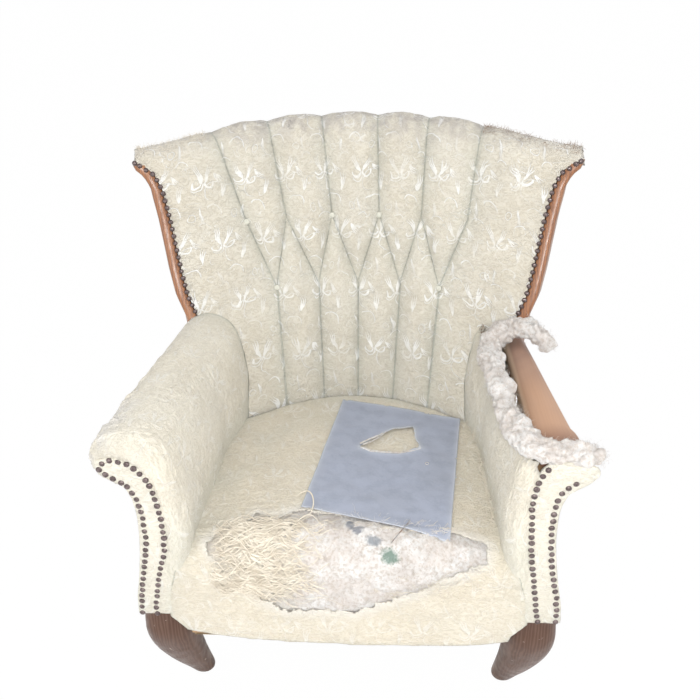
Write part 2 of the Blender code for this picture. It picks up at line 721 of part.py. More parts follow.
def make_webbing():
    top = RAIL_BOTTOM - GAP
    mat = burlap()
    for i, word in enumerate(("left", "middle", "right")):
        x = (i - 1) * SPRING_PITCH
        box("webbing_lengthwise_" + word, (x - WEB_WIDTH / 2.0, FRONT_RAIL_FACE + 0.002, top - WEB_THICK),
            (x + WEB_WIDTH / 2.0, outer_y(abs(x) + WEB_WIDTH / 2.0, RAIL_BOTTOM) - 0.004, top), mat)
    top -= WEB_THICK + GAP
    for i, word in enumerate(("front", "middle", "rear")):
        y = SPRING_Y + (i - 1) * SPRING_PITCH
        box("webbing_crosswise_" + word, (-SIDE_RAIL_OUTER + 0.002, y - WEB_WIDTH / 2.0, top - WEB_THICK),
            (SIDE_RAIL_OUTER - 0.002, y + WEB_WIDTH / 2.0, top), mat)


def make_springs():
    steel = material("spring_steel", (0.25, 0.24, 0.23), 0.5, 1.0)
    low = RAIL_BOTTOM + SPRING_WIRE
    high = DECK_Z - GAP - SPRING_WIRE
    per_turn = 8
    count = SPRING_TURNS * per_turn
    for row in range(3):
        for column in range(3):
            name = "coil_spring_%d" % (row * 3 + column + 1)
            curve = bpy.data.curves.new(name, "CURVE")
            curve.dimensions = "3D"
            curve.bevel_depth = SPRING_WIRE
            curve.bevel_resolution = 0
            curve.use_fill_caps = True
            spline = curve.splines.new("POLY")
            spline.points.add(count)
            for k, knot in enumerate(spline.points):
                share = k / count
                climb = smooth(0.06, 0.94, share) * 0.3 + 0.7 * min(max((share - 0.1) / 0.8, 0.0), 1.0)
                radius = lerp(SPRING_WAIST, SPRING_RADIUS, (2.0 * share - 1.0) ** 2)
                angle = 2.0 * math.pi * k / per_turn
                knot.co = (radius * math.cos(angle), radius * math.sin(angle), lerp(low, high, climb), 1.0)
            curve.materials.append(steel)
            spring = bpy.data.objects.new(name, curve)
            spring.location = ((column - 1) * SPRING_PITCH, SPRING_Y + (row - 1) * SPRING_PITCH, 0.0)
            PART.objects.link(spring)
            spring.parent = ROOT


def make_dust_cover():
    half = [(LEG_INNER - 0.004, FRONT_RAIL_FACE + 0.002), (LEG_INNER - 0.004, LEG_REAR + 0.004),
            (SIDE_RAIL_OUTER - 0.001, LEG_REAR + 0.004), (SIDE_RAIL_OUTER - 0.001, SHOW_FOOT_Y),
            (0.262, 0.072), (0.210, 0.072), (0.210, outer_y(0.210, RAIL_BOTTOM) - 0.006),
            (0.110, outer_y(0.110, RAIL_BOTTOM) - 0.004)]
    outline = half + [(-x, y) for x, y in reversed(half)]
    top = RAIL_BOTTOM - 2.0 * (GAP + WEB_THICK) - GAP
    outline_plate("dust_cover", outline, top - DUST_THICK, top, burlap())


# Seat

SEAT_TOP_ROWS = 6
SEAT_ROLL_ROWS = 4
SEAT_APRON_ROWS = 3
SEAT_ROWS = SEAT_TOP_ROWS + SEAT_ROLL_ROWS + SEAT_APRON_ROWS
SEAT_COLUMNS = 16
APRON_SIDES = ((0.205, 0.270), (0.225, 0.276), (0.255, 0.300), (0.300, 0.298), (0.342, 0.284))


def seat_width(y, turn):
    """Half width of the seat; turn is the share of the front roll that is past."""
    wall = arm_wall(y, 0.40) - SOFT_GAP - 0.001
    return lerp(wall, APRON_SIDES[-1][1], smooth(0.62, 1.0, turn))


def seat_rear_y(x, z, x_share):
    """How far back the seat reaches at a height, clear of the flutes."""
    return back_y(x, z) - FLUTE_RISE * 0.45 * (1.0 - x_share * x_share) ** 0.3 - 0.010


def seat_outer(x_share, row):
    """Outer face of the seat cover: top, front roll, apron; x_share runs -1 to 1."""
    roll_y = SEAT_FRONT + ROLL_RADIUS
    bulge = 1.0 - x_share * x_share
    if row <= SEAT_TOP_ROWS:
        share = row / SEAT_TOP_ROWS
        half = seat_width(-0.01, 0.0)
        x = x_share * half
        rear = seat_rear_y(x, SEAT_LEVEL, x_share)
        y = lerp(rear, roll_y, share)
        x = x_share * seat_width(y, 0.0)
        sag = 0.010 * math.exp(-((x - 0.05) ** 2 + (y + 0.16) ** 2) / 0.016)
        z = SEAT_EDGE_Z + SEAT_DOME * bulge * (0.55 + 0.45 * smooth(0.0, 0.5, share)) - sag
        return Vector((x, y, z)), Vector((0.0, 0.0, 1.0))
    crown = SEAT_EDGE_Z + SEAT_DOME * bulge
    curl = 0.0062 * abs(x_share) ** 6
    if row <= SEAT_TOP_ROWS + SEAT_ROLL_ROWS:
        turn = (row - SEAT_TOP_ROWS) / SEAT_ROLL_ROWS
        angle = math.pi / 2.0 * turn
        y = roll_y - ROLL_RADIUS * math.sin(angle) + curl * turn
        z = crown - ROLL_RADIUS * (1.0 - math.cos(angle))
        x = x_share * seat_width(y, turn)
        return Vector((x, y, z)), Vector((0.0, -math.sin(angle), math.cos(angle)))
    share = (row - SEAT_TOP_ROWS - SEAT_ROLL_ROWS) / SEAT_APRON_ROWS
    bottom = APRON_BOTTOM + 0.012 * x_share * (x_share - 0.4)
    z = lerp(crown - ROLL_RADIUS, bottom, share)
    x = x_share * along(APRON_SIDES, z)
    return Vector((x, SEAT_FRONT + curl, z)), Vector((0.0, -1.0, 0.0))


def seat_cover_point(u, v, outside):
    point, normal = seat_outer(2.0 * u - 1.0, round(v * SEAT_ROWS))
    return point if outside else point - normal * COVER_THICK


def seat_pad_point(u, v, outside):
    row = round(v * SEAT_ROWS)
    share = 2.0 * u - 1.0
    point, normal = seat_outer(share, row)
    limit = 0.252
    if outside:
        point = point - normal * (COVER_THICK + CURVE_GAP)
    else:
        floor = DECK_Z + DECK_THICK + GAP
        rail = FRONT_RAIL_FACE - GAP
        if row <= SEAT_TOP_ROWS:
            point.z = floor
            limit_y = seat_rear_y(point.x, floor, share)
            point.y -= max(seat_rear_y(point.x, SEAT_LEVEL, share) - limit_y, 0.0) * \
                (1.0 - row / SEAT_TOP_ROWS)
        else:
            turn = min((row - SEAT_TOP_ROWS) / SEAT_ROLL_ROWS, 1.0)
            point.y = lerp(SEAT_FRONT + ROLL_RADIUS, rail, math.sin(turn * math.pi / 2.0))
            if row <= SEAT_TOP_ROWS + SEAT_ROLL_ROWS:
                end = seat_outer(share, SEAT_TOP_ROWS + SEAT_ROLL_ROWS)[0].z
                point.z = lerp(floor, min(end, floor - 0.004), 1.0 - math.cos(turn * math.pi / 2.0))
    point.x = max(-limit, min(limit, point.x))
    if row == SEAT_ROWS:
        point.z += 0.004
    return point


# Torn opening of the seat cover: (x, distance down the front roll from its start)
TEAR = ((-0.234, 0.034), (-0.204, 0.008), (-0.176, 0.002), (-0.158, -0.018), (-0.118, -0.010),
        (-0.082, -0.024), (-0.020, -0.018), (0.050, -0.014), (0.120, 0.000), (0.186, 0.010),
        (0.232, 0.030), (0.228, 0.056), (0.188, 0.072), (0.134, 0.097), (0.072, 0.108),
        (0.014, 0.124), (-0.050, 0.117), (-0.104, 0.126), (-0.150, 0.106), (-0.196, 0.086),
        (-0.222, 0.058))


def tear_cutter():
    """A prism through the front roll, square to its middle slope."""
    start = Vector((0.0, SEAT_FRONT + ROLL_RADIUS, SEAT_EDGE_Z + SEAT_DOME))
    down = Vector((0.0, -1.0, -1.0)).normalized()
    out = Vector((0.0, -1.0, 1.0)).normalized()
    rings = []
    for reach in (-0.075, 0.080):
        rings.append([start + Vector((x, 0.0, 0.0)) + down * s + out * reach for x, s in TEAR])
    cutter = loft("tear_cutter", rings, burlap(), flat=True)
    cutter.hide_render = True
    cutter.display_type = "WIRE"
    return cutter


def make_seat():
    slab("spring_deck", 10, 6, lambda u, v: deck_point(u, v, DECK_Z),
         lambda u, v: deck_point(u, v, DECK_Z + DECK_THICK), burlap(), flat=True)
    slab("seat_pad", SEAT_COLUMNS, SEAT_ROWS, lambda u, v: seat_pad_point(u, v, True),
         lambda u, v: seat_pad_point(u, v, False), stuffing())
    cover = slab("seat_cover", SEAT_COLUMNS, SEAT_ROWS, lambda u, v: seat_cover_point(u, v, True),
                 lambda u, v: seat_cover_point(u, v, False), brocade())
    cut(cover, tear_cutter())


def deck_point(u, v, z):
    share = 2.0 * u - 1.0
    y = lerp(-0.338, seat_rear_y(share * 0.240, DECK_Z, share), v)
    return Vector((share * (arm_wall(y, 0.345) - 0.010), y, z))


# Blue patch on the seat: corners, then its torn hole, as (x, y)
PATCH_CORNERS = ((-0.084, -0.299), (0.169, -0.366), (0.217, -0.006), (-0.029, 0.050))
PATCH_HOLE = ((0.017, -0.130), (0.055, -0.084), (0.078, -0.064), (0.118, -0.056), (0.121, -0.097),
              (0.128, -0.124), (0.088, -0.141), (0.051, -0.140))
PATCH_THICK = 0.0015


def seat_height(x, y):
    """Height and slope direction of the seat's outer face over (x, y), by search along a column."""
    roll_y = SEAT_FRONT + ROLL_RADIUS
    share = max(-1.0, min(1.0, x / seat_width(max(y, roll_y), 0.0)))
    if y >= roll_y:
        rear = seat_outer(share, 0)[0].y
        row = min(max((rear - y) / (rear - roll_y), 0.0), 1.0) * SEAT_TOP_ROWS
        return seat_outer(share, row)[0].z, 0.0
    angle = math.asin(min((roll_y - y) / ROLL_RADIUS, 0.999))
    crown = SEAT_EDGE_Z + SEAT_DOME * (1.0 - share * share)
    return crown - ROLL_RADIUS * (1.0 - math.cos(angle)), angle


def make_patch():
    low_left, low_right, high_right, high_left = PATCH_CORNERS

    def place(extra):
        def point(u, v):
            x = lerp(lerp(low_left[0], low_right[0], u), lerp(high_left[0], high_right[0], u), v)
            y = lerp(lerp(low_left[1], low_right[1], u), lerp(high_left[1], high_right[1], u), v)
            z, angle = seat_height(x, y)
            return Vector((x, y - extra * math.sin(angle), z + extra * math.cos(angle)))
        return point

    patch = slab("seat_patch", 6, 16, place(PATCH_LIFT), place(PATCH_LIFT + PATCH_THICK),
                 material("patch_cloth", (0.36, 0.42, 0.52), 0.85))
    rings = [[(x, y, z) for x, y in PATCH_HOLE] for z in (0.36, 0.48)]
    cut(patch, loft("hole_cutter", rings, burlap(), flat=True))


PATCH_LIFT = 0.0011


# Arms

def make_arm_pads():
    for side, word in ((-1, "left"), (1, "right")):
        pad = slab(word + "_arm_pad", ARM_COLUMNS, ARM_ROWS,
                   lambda u, v: arm_point(side, u, v, True),
                   lambda u, v: arm_point(side, u, v, False), brocade())
        if side > 0:
            tear_right_arm(pad)


# Torn right arm: the opening's section (distance from the middle, height) and its front end
ARM_TEAR = ((0.2880, 0.680), (0.2865, 0.590), (0.3000, 0.556), (0.3200, 0.500), (0.430, 0.490),
            (0.430, 0.680))
ARM_TEAR_FRONT = ARM_FRONT - 0.006
# Batting roll round the opening: (x, y, z, radius)
BATTING = ((0.376, -0.036, 0.606, 0.011), (0.362, -0.022, 0.618, 0.017), (0.336, -0.008, 0.628, 0.019),
           (0.304, 0.000, 0.624, 0.021), (0.273, -0.014, 0.610, 0.022), (0.256, -0.052, 0.598, 0.020),
           (0.255, -0.100, 0.600, 0.022), (0.257, -0.150, 0.602, 0.019), (0.259, -0.200, 0.604, 0.023),
           (0.261, -0.250, 0.600, 0.020), (0.265, -0.300, 0.602, 0.023), (0.274, -0.344, 0.603, 0.021),
           (0.291, -0.375, 0.606, 0.017), (0.316, -0.3875, 0.6075, 0.0145), (0.345, -0.3885, 0.6075, 0.0145),
           (0.370, -0.3875, 0.604, 0.014), (0.389, -0.386, 0.593, 0.0105))


def batting_roll(name, swell):
    """The lumpy roll as a tube; swell widens it for a cutter."""
    sides = 10
    points = [Vector(entry[:3]) for entry in BATTING]
    rings = []
    for i, point in enumerate(points):
        ahead = points[min(i + 1, len(points) - 1)] - points[max(i - 1, 0)]
        across = ahead.cross(Vector((0.0, 0.0, 1.0))).normalized()
        up = across.cross(ahead).normalized()
        radius = BATTING[i][3] + swell
        ring = []
        for k in range(sides):
            angle = 2.0 * math.pi * k / sides
            lump = 1.0 + (0.10 * math.sin(3.0 * angle + 2.1 * i) if swell == 0.0 else 0.10)
            ring.append(point + (across * math.cos(angle) + up * math.sin(angle)) * radius * lump)
        rings.append(ring)
    return loft(name, rings, stuffing())


def tear_right_arm(pad):
    rings = [[(x, y, z) for x, z in ARM_TEAR] for y in (ARM_TEAR_FRONT, 0.10)]
    cut(pad, loft("arm_cutter", rings, burlap(), flat=True))
    cut(pad, batting_roll("batting_cutter", 0.0006))
    batting_roll("right_arm_batting", 0.0)


# Outline of an arm facing, from its foot up the inner side and down the outer side
FACING_INNER = ((0.306, 0.262), (0.3035, 0.300), (0.291, 0.338), (0.279, 0.366), (0.271, 0.392),
                (0.269, 0.425), (0.269, 0.470), (0.274, 0.520), (0.285, 0.560))
FACING_WHOLE = ((0.3035, 0.5965), (0.337, 0.6085), (0.368, 0.603), (0.388, 0.583))
FACING_TORN = ((0.302, 0.580), (0.320, 0.588), (0.345, 0.590), (0.371, 0.585), (0.385, 0.572))
FACING_OUTER = ((0.385, 0.558), (0.368, 0.543), (0.350, 0.533), (0.339, 0.510), (0.334, 0.470),
                (0.337, 0.420), (0.345, 0.365), (0.356, 0.310), (0.361, 0.272), (0.335, 0.262))


def make_facings():
    for side, word, top in ((-1, "left", FACING_WHOLE), (1, "right", FACING_TORN)):
        outline_plate(word + "_arm_facing", [(side * x, z) for x, z in FACING_INNER + top + FACING_OUTER],
                      ARM_FRONT - GAP - ARM_FACING_THICK, ARM_FRONT - GAP, brocade(),
                      axis="y", smooth_edge=True, resolution=2)


SIDE_TURN = 10.0 / 12.0          # share of the panel's columns in front of the show rail
# Outside arm panel at the front: (height, distance outside the side rail)
SIDE_FRONT = ((0.187, 0.027), (0.265, 0.027), (0.310, 0.017), (0.365, 0.006), (0.420, 0.001),
              (0.470, 0.001), (0.535, 0.003))


def make_outside_arms():
    def place(side, inset):
        def point(u, v):
            front_y = ARM_FRONT + GAP
            run = min(u / SIDE_TURN, 1.0)
            y_guess = lerp(front_y, SHOW_FOOT_Y, run)
            low = lerp(LEG_TOP + 0.004, PANEL_BOTTOM, smooth(-0.298, -0.270, y_guess))
            z = lerp(low, lerp(0.535, 0.553, run), v)
            corner, outward, rear = show_section(z)
            turn = corner + outward * (SHOW_WIDTH + 0.0022)
            turn.x = max(turn.x, SIDE_RAIL_OUTER + CURVE_GAP)
            if u <= SIDE_TURN:
                y = lerp(front_y, turn.y, run)
                x = lerp(SIDE_RAIL_OUTER + along(SIDE_FRONT, z), turn.x, smooth(front_y, -0.18, y))
                return Vector((side * (x + inset), y, z))
            point = turn + rear * (SHOW_DEPTH - 0.0015) * (u - SIDE_TURN) / (1.0 - SIDE_TURN) + outward * inset
            point.x = max(point.x, turn.x + inset)
            return Vector((side * point.x, point.y, z))
        return point
    for side, word in ((-1, "left"), (1, "right")):
        slab(word + "_outside_arm", 12, 6, place(side, 0.0), place(side, SIDE_PANEL_THICK), brocade())


def make_outside_back():
    def place(extra):
        def point(u, v):
            share = 2.0 * u - 1.0
            top = top_z(share * 0.43) - ROLL_HEIGHT - 0.0015
            z = lerp(PANEL_BOTTOM, top, v)
            side = show_rear_corner(z)
            x = share * side.x
            return Vector((x, outer_y(x, z) + extra, z))
        return point
    slab("outside_back", 22, 8, place(0.0), place(PANEL_THICK), brocade())


def main():
    global PART, ROOT
    clean_scene()
    PART = new_collection(NAME)
    ROOT = bpy.data.objects.new("armchair", None)
    ROOT.location = (0.0, CENTRE_Y, 0.0)
    PART.objects.link(ROOT)
    make_front_legs()
    make_frame_rails()
    make_back_rails()
    make_back_posts()
    make_crest_rail()
    make_show_rails()
    make_arm_wood()
    make_webbing()
    make_springs()
    make_dust_cover()
    make_seat()
    make_patch()
    make_back_pad()
    make_arm_pads()
    make_facings()
    make_outside_arms()
    make_outside_back()


main()
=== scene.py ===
"""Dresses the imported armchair: woven cover, torn arm and seat, nails, polished wood, studio stage."""

import math
import random
from functools import lru_cache

import bmesh
import bpy
from bpy.props import FloatProperty, FloatVectorProperty, PointerProperty
from mathutils import Matrix, Vector, noise


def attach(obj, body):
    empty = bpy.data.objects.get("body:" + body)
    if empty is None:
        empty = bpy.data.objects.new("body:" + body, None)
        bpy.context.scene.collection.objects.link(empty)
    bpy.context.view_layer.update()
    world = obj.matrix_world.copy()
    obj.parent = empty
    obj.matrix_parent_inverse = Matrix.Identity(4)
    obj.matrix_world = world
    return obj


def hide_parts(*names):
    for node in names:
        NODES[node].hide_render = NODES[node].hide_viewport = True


bl_info = {
    "name": "Worn Armchair",
    "version": (1, 0, 0),
    "blender": (4, 5, 0),
    "location": "View3D > Sidebar > Armchair",
    "description": "Upholstery, trim and wear for a fluted show-wood armchair",
    "category": "Object",
}

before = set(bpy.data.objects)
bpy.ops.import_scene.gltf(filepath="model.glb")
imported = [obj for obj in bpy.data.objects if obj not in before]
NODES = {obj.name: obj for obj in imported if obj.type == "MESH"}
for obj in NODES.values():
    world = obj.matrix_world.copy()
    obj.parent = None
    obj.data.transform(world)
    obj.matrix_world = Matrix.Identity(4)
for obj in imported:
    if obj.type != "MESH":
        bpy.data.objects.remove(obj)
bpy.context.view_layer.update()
SHIFT = Vector((0.0, 0.024, 0.0))    # the chair's own zero line in the row frame
TAU = 2.0 * math.pi


def lerp(a, b, t):
    return a + (b - a) * t


def smooth(low, high, value):
    t = min(max((value - low) / (high - low), 0.0), 1.0)
    return t * t * (3.0 - 2.0 * t)


def along(table, value):
    """Reads a table of (key, result) pairs with straight runs."""
    if value <= table[0][0]:
        return table[0][1]
    for (k0, r0), (k1, r1) in zip(table, table[1:]):
        if value <= k1:
            return lerp(r0, r1, (value - k0) / (k1 - k0))
    return table[-1][1]


def spline(points, place):
    """Smooth curve through points; place runs from 0 to len(points) - 1."""
    i = min(int(place), len(points) - 2)
    t = place - i
    p0, p1, p2, p3 = (points[min(max(k, 0), len(points) - 1)] for k in (i - 1, i, i + 1, i + 2))
    return tuple(0.5 * (2.0 * b + (c - a) * t + (2.0 * a - 5.0 * b + 4.0 * c - d) * t * t
                        + (3.0 * b - a - 3.0 * c + d) * t ** 3) for a, b, c, d in zip(p0, p1, p2, p3))


def lumps(point, size, seed=0.0):
    """Soft noise from -1 to 1 with bumps of about that size."""
    return noise.noise(Vector(point) / size + Vector((seed, 2.3 * seed, 0.7 * seed)))


def edge_distance(outline, x, y):
    """How far (x, y) lies from a closed outline, in metres; negative inside it."""
    best, hit = 1.0, False
    x0, y0 = outline[-1]
    for x1, y1 in outline:
        dx, dy = x1 - x0, y1 - y0
        t = ((x - x0) * dx + (y - y0) * dy) / (dx * dx + dy * dy)
        t = 0.0 if t < 0.0 else 1.0 if t > 1.0 else t
        away = (x - x0 - t * dx) ** 2 + (y - y0 - t * dy) ** 2
        best = away if away < best else best
        if (y0 > y) != (y1 > y) and x < x0 + (y - y0) / dy * dx:
            hit = not hit
        x0, y0 = x1, y1
    return -math.sqrt(best) if hit else math.sqrt(best)


# Finishing and shells

def finish_piece(name, bm, mat, nodes=(), sharp=None):
    mesh = bpy.data.meshes.new(name)
    bm.to_mesh(mesh)
    bm.free()
    mesh.transform(Matrix.Translation(SHIFT))
    mesh.materials.append(mat)
    mesh.shade_smooth()
    if sharp:
        mesh.set_sharp_from_angle(angle=math.radians(sharp))
    obj = bpy.data.objects.new(name, mesh)
    bpy.context.scene.collection.objects.link(obj)
    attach(obj, "root")
    if nodes:
        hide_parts(*nodes)
    return obj


def face_outwards(bm):
    bmesh.ops.recalc_face_normals(bm, faces=bm.faces)
    if bm.calc_volume(signed=True) < 0.0:
        bmesh.ops.reverse_faces(bm, faces=bm.faces)


def marked_bmesh():
    """A bmesh whose vertices carry their place on the cloth and its marks."""
    bm = bmesh.new()
    layers = {word: bm.verts.layers.float.new(word) for word in ("crease", "soil", "worn", "fleck", "torn")}
    layers["place"] = bm.verts.layers.float_vector.new("place")
    layers["uv"] = bm.loops.layers.uv.new("cloth")
    return bm, layers


def lay_cloth(layers, verts, surface):
    """Puts vertices on surface(u, v), which gives a point, its cloth place and its marks."""
    for vert in verts:
        u, v, _ = vert[layers["place"]]
        vert.co, cloth, marks = surface(u, v)
        vert[layers["place"]] = (cloth[0], cloth[1], 1.0)
        for word, value in marks.items():
            vert[layers[word]] = value


def write_uv(bm, layers):
    for face in bm.faces:
        for loop in face.loops:
            loop[layers["uv"]].uv = loop.vert[layers["place"]].xy


def relief(bm, layers, verts, height):
    """Moves the cloth along its normals by height(point, place, mark); mark reads a mark by name."""
    bm.normal_update()
    moves = [(vert, vert.normal * height(vert.co, vert[layers["place"]], lambda word: vert[layers[word]]))
             for vert in verts]
    for vert, move in moves:
        vert.co += move


def padded_shell(name, columns, rows, cuts, front, rear, mat, height=None, nodes=()):
    """A closed pad: a fine front on front(u, v) and a plain rear on rear(u, v)."""
    bm, layers = marked_bmesh()
    bmesh.ops.create_grid(bm, x_segments=columns, y_segments=rows, size=0.5)
    for vert in bm.verts:
        vert[layers["place"]] = (vert.co.x + 0.5, vert.co.y + 0.5, 0.0)
    front_faces = list(bm.faces)
    made = bmesh.ops.extrude_face_region(bm, geom=front_faces, use_keep_orig=True)["geom"]
    rear_verts = {item for item in made if isinstance(item, bmesh.types.BMVert)}
    for vert in rear_verts:
        u, v, _ = vert[layers["place"]]
        vert.co = rear(u, v)
    edges = {edge for face in front_faces for edge in face.edges}
    bmesh.ops.subdivide_edges(bm, edges=list(edges), cuts=cuts, use_grid_fill=True)
    front_verts = [vert for vert in bm.verts if vert not in rear_verts]
    lay_cloth(layers, front_verts, front)
    face_outwards(bm)
    if height:
        relief(bm, layers, front_verts, height)
    write_uv(bm, layers)
    return finish_piece(name, bm, mat, nodes)


# Outline of the back, as in the part's source but for its flatter channels

SEAT_LEVEL = 0.406
BACK_Y, BACK_RAKE, BACK_RADIUS, BACK_OPENING = 0.111, 0.314, 0.292, 0.68
BACK_TOP, BACK_TOP_DROP, TOP_SHOULDER, BACK_BOTTOM = 0.964, 0.034, 0.345, 0.325
PAD_THICK, PAD_THIN = 0.045, 0.030
OUTER_Y, OUTER_Z, OUTER_RAKE, PANEL_THICK = 0.186, 0.230, 0.238, 0.006
ROLL_HEIGHT, FLUTE_RISE = 0.038, 0.0175
UPPER_NODE_Z, LOWER_NODE_Z = 0.777, 0.641
UPPER_SEAMS_TOP = (-0.294, -0.184, -0.074, 0.041, 0.145, 0.252)
UPPER_NODES = (-0.229, -0.149, -0.054, 0.046, 0.134, 0.227)
LOWER_NODES = (-0.170, -0.083, 0.001, 0.091, 0.172)
LOWER_SEAMS_BOTTOM = (-0.152, -0.073, 0.001, 0.077, 0.151)
SHOW_EDGE = ((0.265, 0.312), (0.520, 0.312), (0.612, 0.322), (0.659, 0.341), (0.704, 0.352),
             (0.750, 0.361), (0.805, 0.372), (0.858, 0.385), (0.890, 0.400), (0.905, 0.413))
SHOW_WIDTH, SHOW_DEPTH, SHOW_FOOT_Y, ARM_LEVEL, LEG_TOP = 0.017, 0.046, 0.020, 0.600, 0.265
PAD_WING = ((0.325, 0.262), (0.520, 0.270), (0.585, 0.302), (0.612, 0.322))
SEAM_HALF, SEAM_GAP = 0.0004, 0.0008


def edge_x(z):
    return along(SHOW_EDGE, z)


def pad_edge(z):
    return min(edge_x(z), along(PAD_WING, z)) if z < PAD_WING[-1][0] else edge_x(z)


def back_y(x, z):
    radius = BACK_RADIUS + BACK_OPENING * max(z - SEAT_LEVEL, 0.0)
    return BACK_Y + BACK_RAKE * (z - SEAT_LEVEL) - x * x / (2.0 * radius)


def top_z(x):
    return BACK_TOP - BACK_TOP_DROP * min(abs(x) / TOP_SHOULDER, 1.0) ** 2.4


def show_top():
    return BACK_TOP - BACK_TOP_DROP - ROLL_HEIGHT - 0.002


def inward(x, z):
    radius = BACK_RADIUS + BACK_OPENING * max(z - SEAT_LEVEL, 0.0)
    return Vector((0.5 * x / radius, 1.0, 0.0)).normalized()


def back_point(x, z, depth):
    return Vector((x, back_y(x, z), z)) + inward(x, z) * depth


def pad_thick(x, z):
    middle = lerp(PAD_THICK, PAD_THIN, smooth(0.50, 0.80, z))
    return middle * (1.0 - 0.62 * min(abs(x) / edge_x(z), 1.0) ** 4)


@lru_cache(maxsize=None)
def show_section(z):
    """Inner front corner of a show rail's section, its outward and its rearward direction."""
    edge = edge_x(z)
    if z >= ARM_LEVEL:
        rear = inward(edge, z)
        corner = Vector((edge, back_y(edge, z), z))
    else:
        top = edge_x(ARM_LEVEL)
        share = max(z - LEG_TOP, 0.0) / (ARM_LEVEL - LEG_TOP)
        turn = inward(top, ARM_LEVEL)
        rear = Vector((turn.x * share, 1.0, 0.0)).normalized()
        corner = Vector((edge, lerp(SHOW_FOOT_Y, back_y(top, ARM_LEVEL), share), z))
    return corner, Vector((rear.y, -rear.x, 0.0)), rear


def outer_y(x, z):
    corner, outward, rear = show_section(z)
    side = corner + outward * SHOW_WIDTH + rear * SHOW_DEPTH
    share = min(abs(x) / side.x, 1.0)
    middle_y = OUTER_Y + OUTER_RAKE * (z - OUTER_Z) - PANEL_THICK
    power = lerp(3.0, 2.0, smooth(0.25, 0.90, z))
    return side.y + 0.0008 + (middle_y - side.y) * (1.0 - share ** power)


def outer_depth(x, z):
    depth = 0.06
    for _ in range(4):
        point = back_point(x, z, depth)
        depth += (outer_y(point.x, z) - point.y) * inward(x, z).y
    return depth


@lru_cache(maxsize=None)
def seam_tracks(z):
    rise = (z - UPPER_NODE_Z) / (BACK_TOP - UPPER_NODE_Z)
    fall = (UPPER_NODE_Z - z) / (UPPER_NODE_Z - LOWER_NODE_Z)
    sink = (LOWER_NODE_Z - z) / (LOWER_NODE_Z - SEAT_LEVEL)
    lows = [lerp(n, b, sink) for n, b in zip(LOWER_NODES, LOWER_SEAMS_BOTTOM)]
    last = len(UPPER_NODES) - 1
    spread = []
    for i, node in enumerate(UPPER_NODES):
        for side in (-1, 1):
            foot = min(max(i - (1 if side < 0 else 0), 0), last - 1)
            if z >= UPPER_NODE_Z:
                x = lerp(node, UPPER_SEAMS_TOP[i], rise)
            elif z >= LOWER_NODE_Z:
                x = lerp(node, LOWER_NODES[foot], fall)
            else:
                x = lows[foot]
            x += side * SEAM_HALF
            spread.append(max(x, spread[-1] + SEAM_GAP) if spread else x)
    return spread


CELLS = 2 * len(UPPER_NODES) + 1      # cloth between seams, side panels with it


def back_cell(s, z):
    """(x, rise, distance to the seam) at place s across the back, from 0 to CELLS."""
    z = round(z, 4)
    edge = pad_edge(z) - 0.0022
    tracks = seam_tracks(z)
    cell = min(int(s), CELLS - 1)
    t = s - cell
    t = 0.5 - 0.5 * math.cos(math.pi * t)
    if cell in (0, CELLS - 1):
        sign = -1.0 if cell == 0 else 1.0
        t = t if cell == 0 else 1.0 - t
        seam = tracks[0] if cell == 0 else tracks[-1]
        rise = 0.013 * math.sin(math.pi * t ** 1.3) ** 0.9 if 0.0 < t < 1.0 else 0.0
        x = lerp(sign * edge, seam, t)
        return x, rise * smooth(0.60, 0.72, z), abs(x - seam)
    left, right = tracks[cell - 1], tracks[cell]
    width = right - left
    height = FLUTE_RISE * smooth(0.006, 0.070, width)
    height *= lerp(0.4, 1.0, smooth(SEAT_LEVEL - 0.03, SEAT_LEVEL + 0.12, z))
    return lerp(left, right, t), height * (4.0 * t * (1.0 - t)) ** 0.95, min(t, 1.0 - t) * width


FACE_SHARE = 0.84


def back_front(u, v):
    s = u * CELLS
    share = min(v / FACE_SHARE, 1.0)
    angle = math.pi * max(v - FACE_SHARE, 0.0) / (1.0 - FACE_SHARE)
    x, _, _ = back_cell(s, lerp(BACK_BOTTOM, BACK_TOP - BACK_TOP_DROP - ROLL_HEIGHT, share))
    z = lerp(BACK_BOTTOM, top_z(x) - ROLL_HEIGHT, share)
    x, rise, seam = back_cell(s, z + ROLL_HEIGHT * min(angle, 1.4))
    # The seam's narrow mark sinks the cover here, and in the material it paints shade into the seam.
    crease = math.exp(-(seam / 0.0013) ** 2)
    beside = math.exp(-seam / 0.010)
    pucker = 0.0020 * beside * lumps((x * 0.35, z + 0.02 * angle, 0.0), 0.0070, 3.0)
    rise += pucker - 0.0012 * crease
    height = z
    if angle == 0.0:
        point = back_point(x, z, -rise)
        cloth = (x, z)
    else:
        x += math.copysign(SHOW_WIDTH * smooth(0.30, 0.405, abs(x)) * smooth(0.0, 0.7, angle), x)
        reach = ROLL_HEIGHT + 0.38 * rise
        depth = lerp(-rise * (1.0 - angle / math.pi), outer_depth(x, z) + 0.004, (1.0 - math.cos(angle)) / 2.0)
        point = back_point(x, z + reach * math.sin(angle), depth)
        cloth = (x, z + angle * ROLL_HEIGHT)
        height = z + ROLL_HEIGHT * angle
    corner = smooth(0.335, 0.40, abs(x)) * smooth(0.925, 0.950, height)
    # Painted shade: the cover darkens beside each seam and low down where the back meets the seat.
    low = 0.10 * math.exp(-max(z - SEAT_LEVEL, 0.0) / 0.10)
    valley = 0.45 * beside * smooth(0.0, 0.004, seam) + 0.25 * math.exp(-seam / 0.022)
    # Painted shade, in blotches, toward the top roll.
    grime_and_shade = smooth(0.905, 0.965, height + 0.010 * lumps(point, 0.04, 2.0))
    return point, cloth, {"crease": crease, "soil": min(valley + low, 1.0), "worn": corner, "fleck": grime_and_shade,
                          "torn": seam}


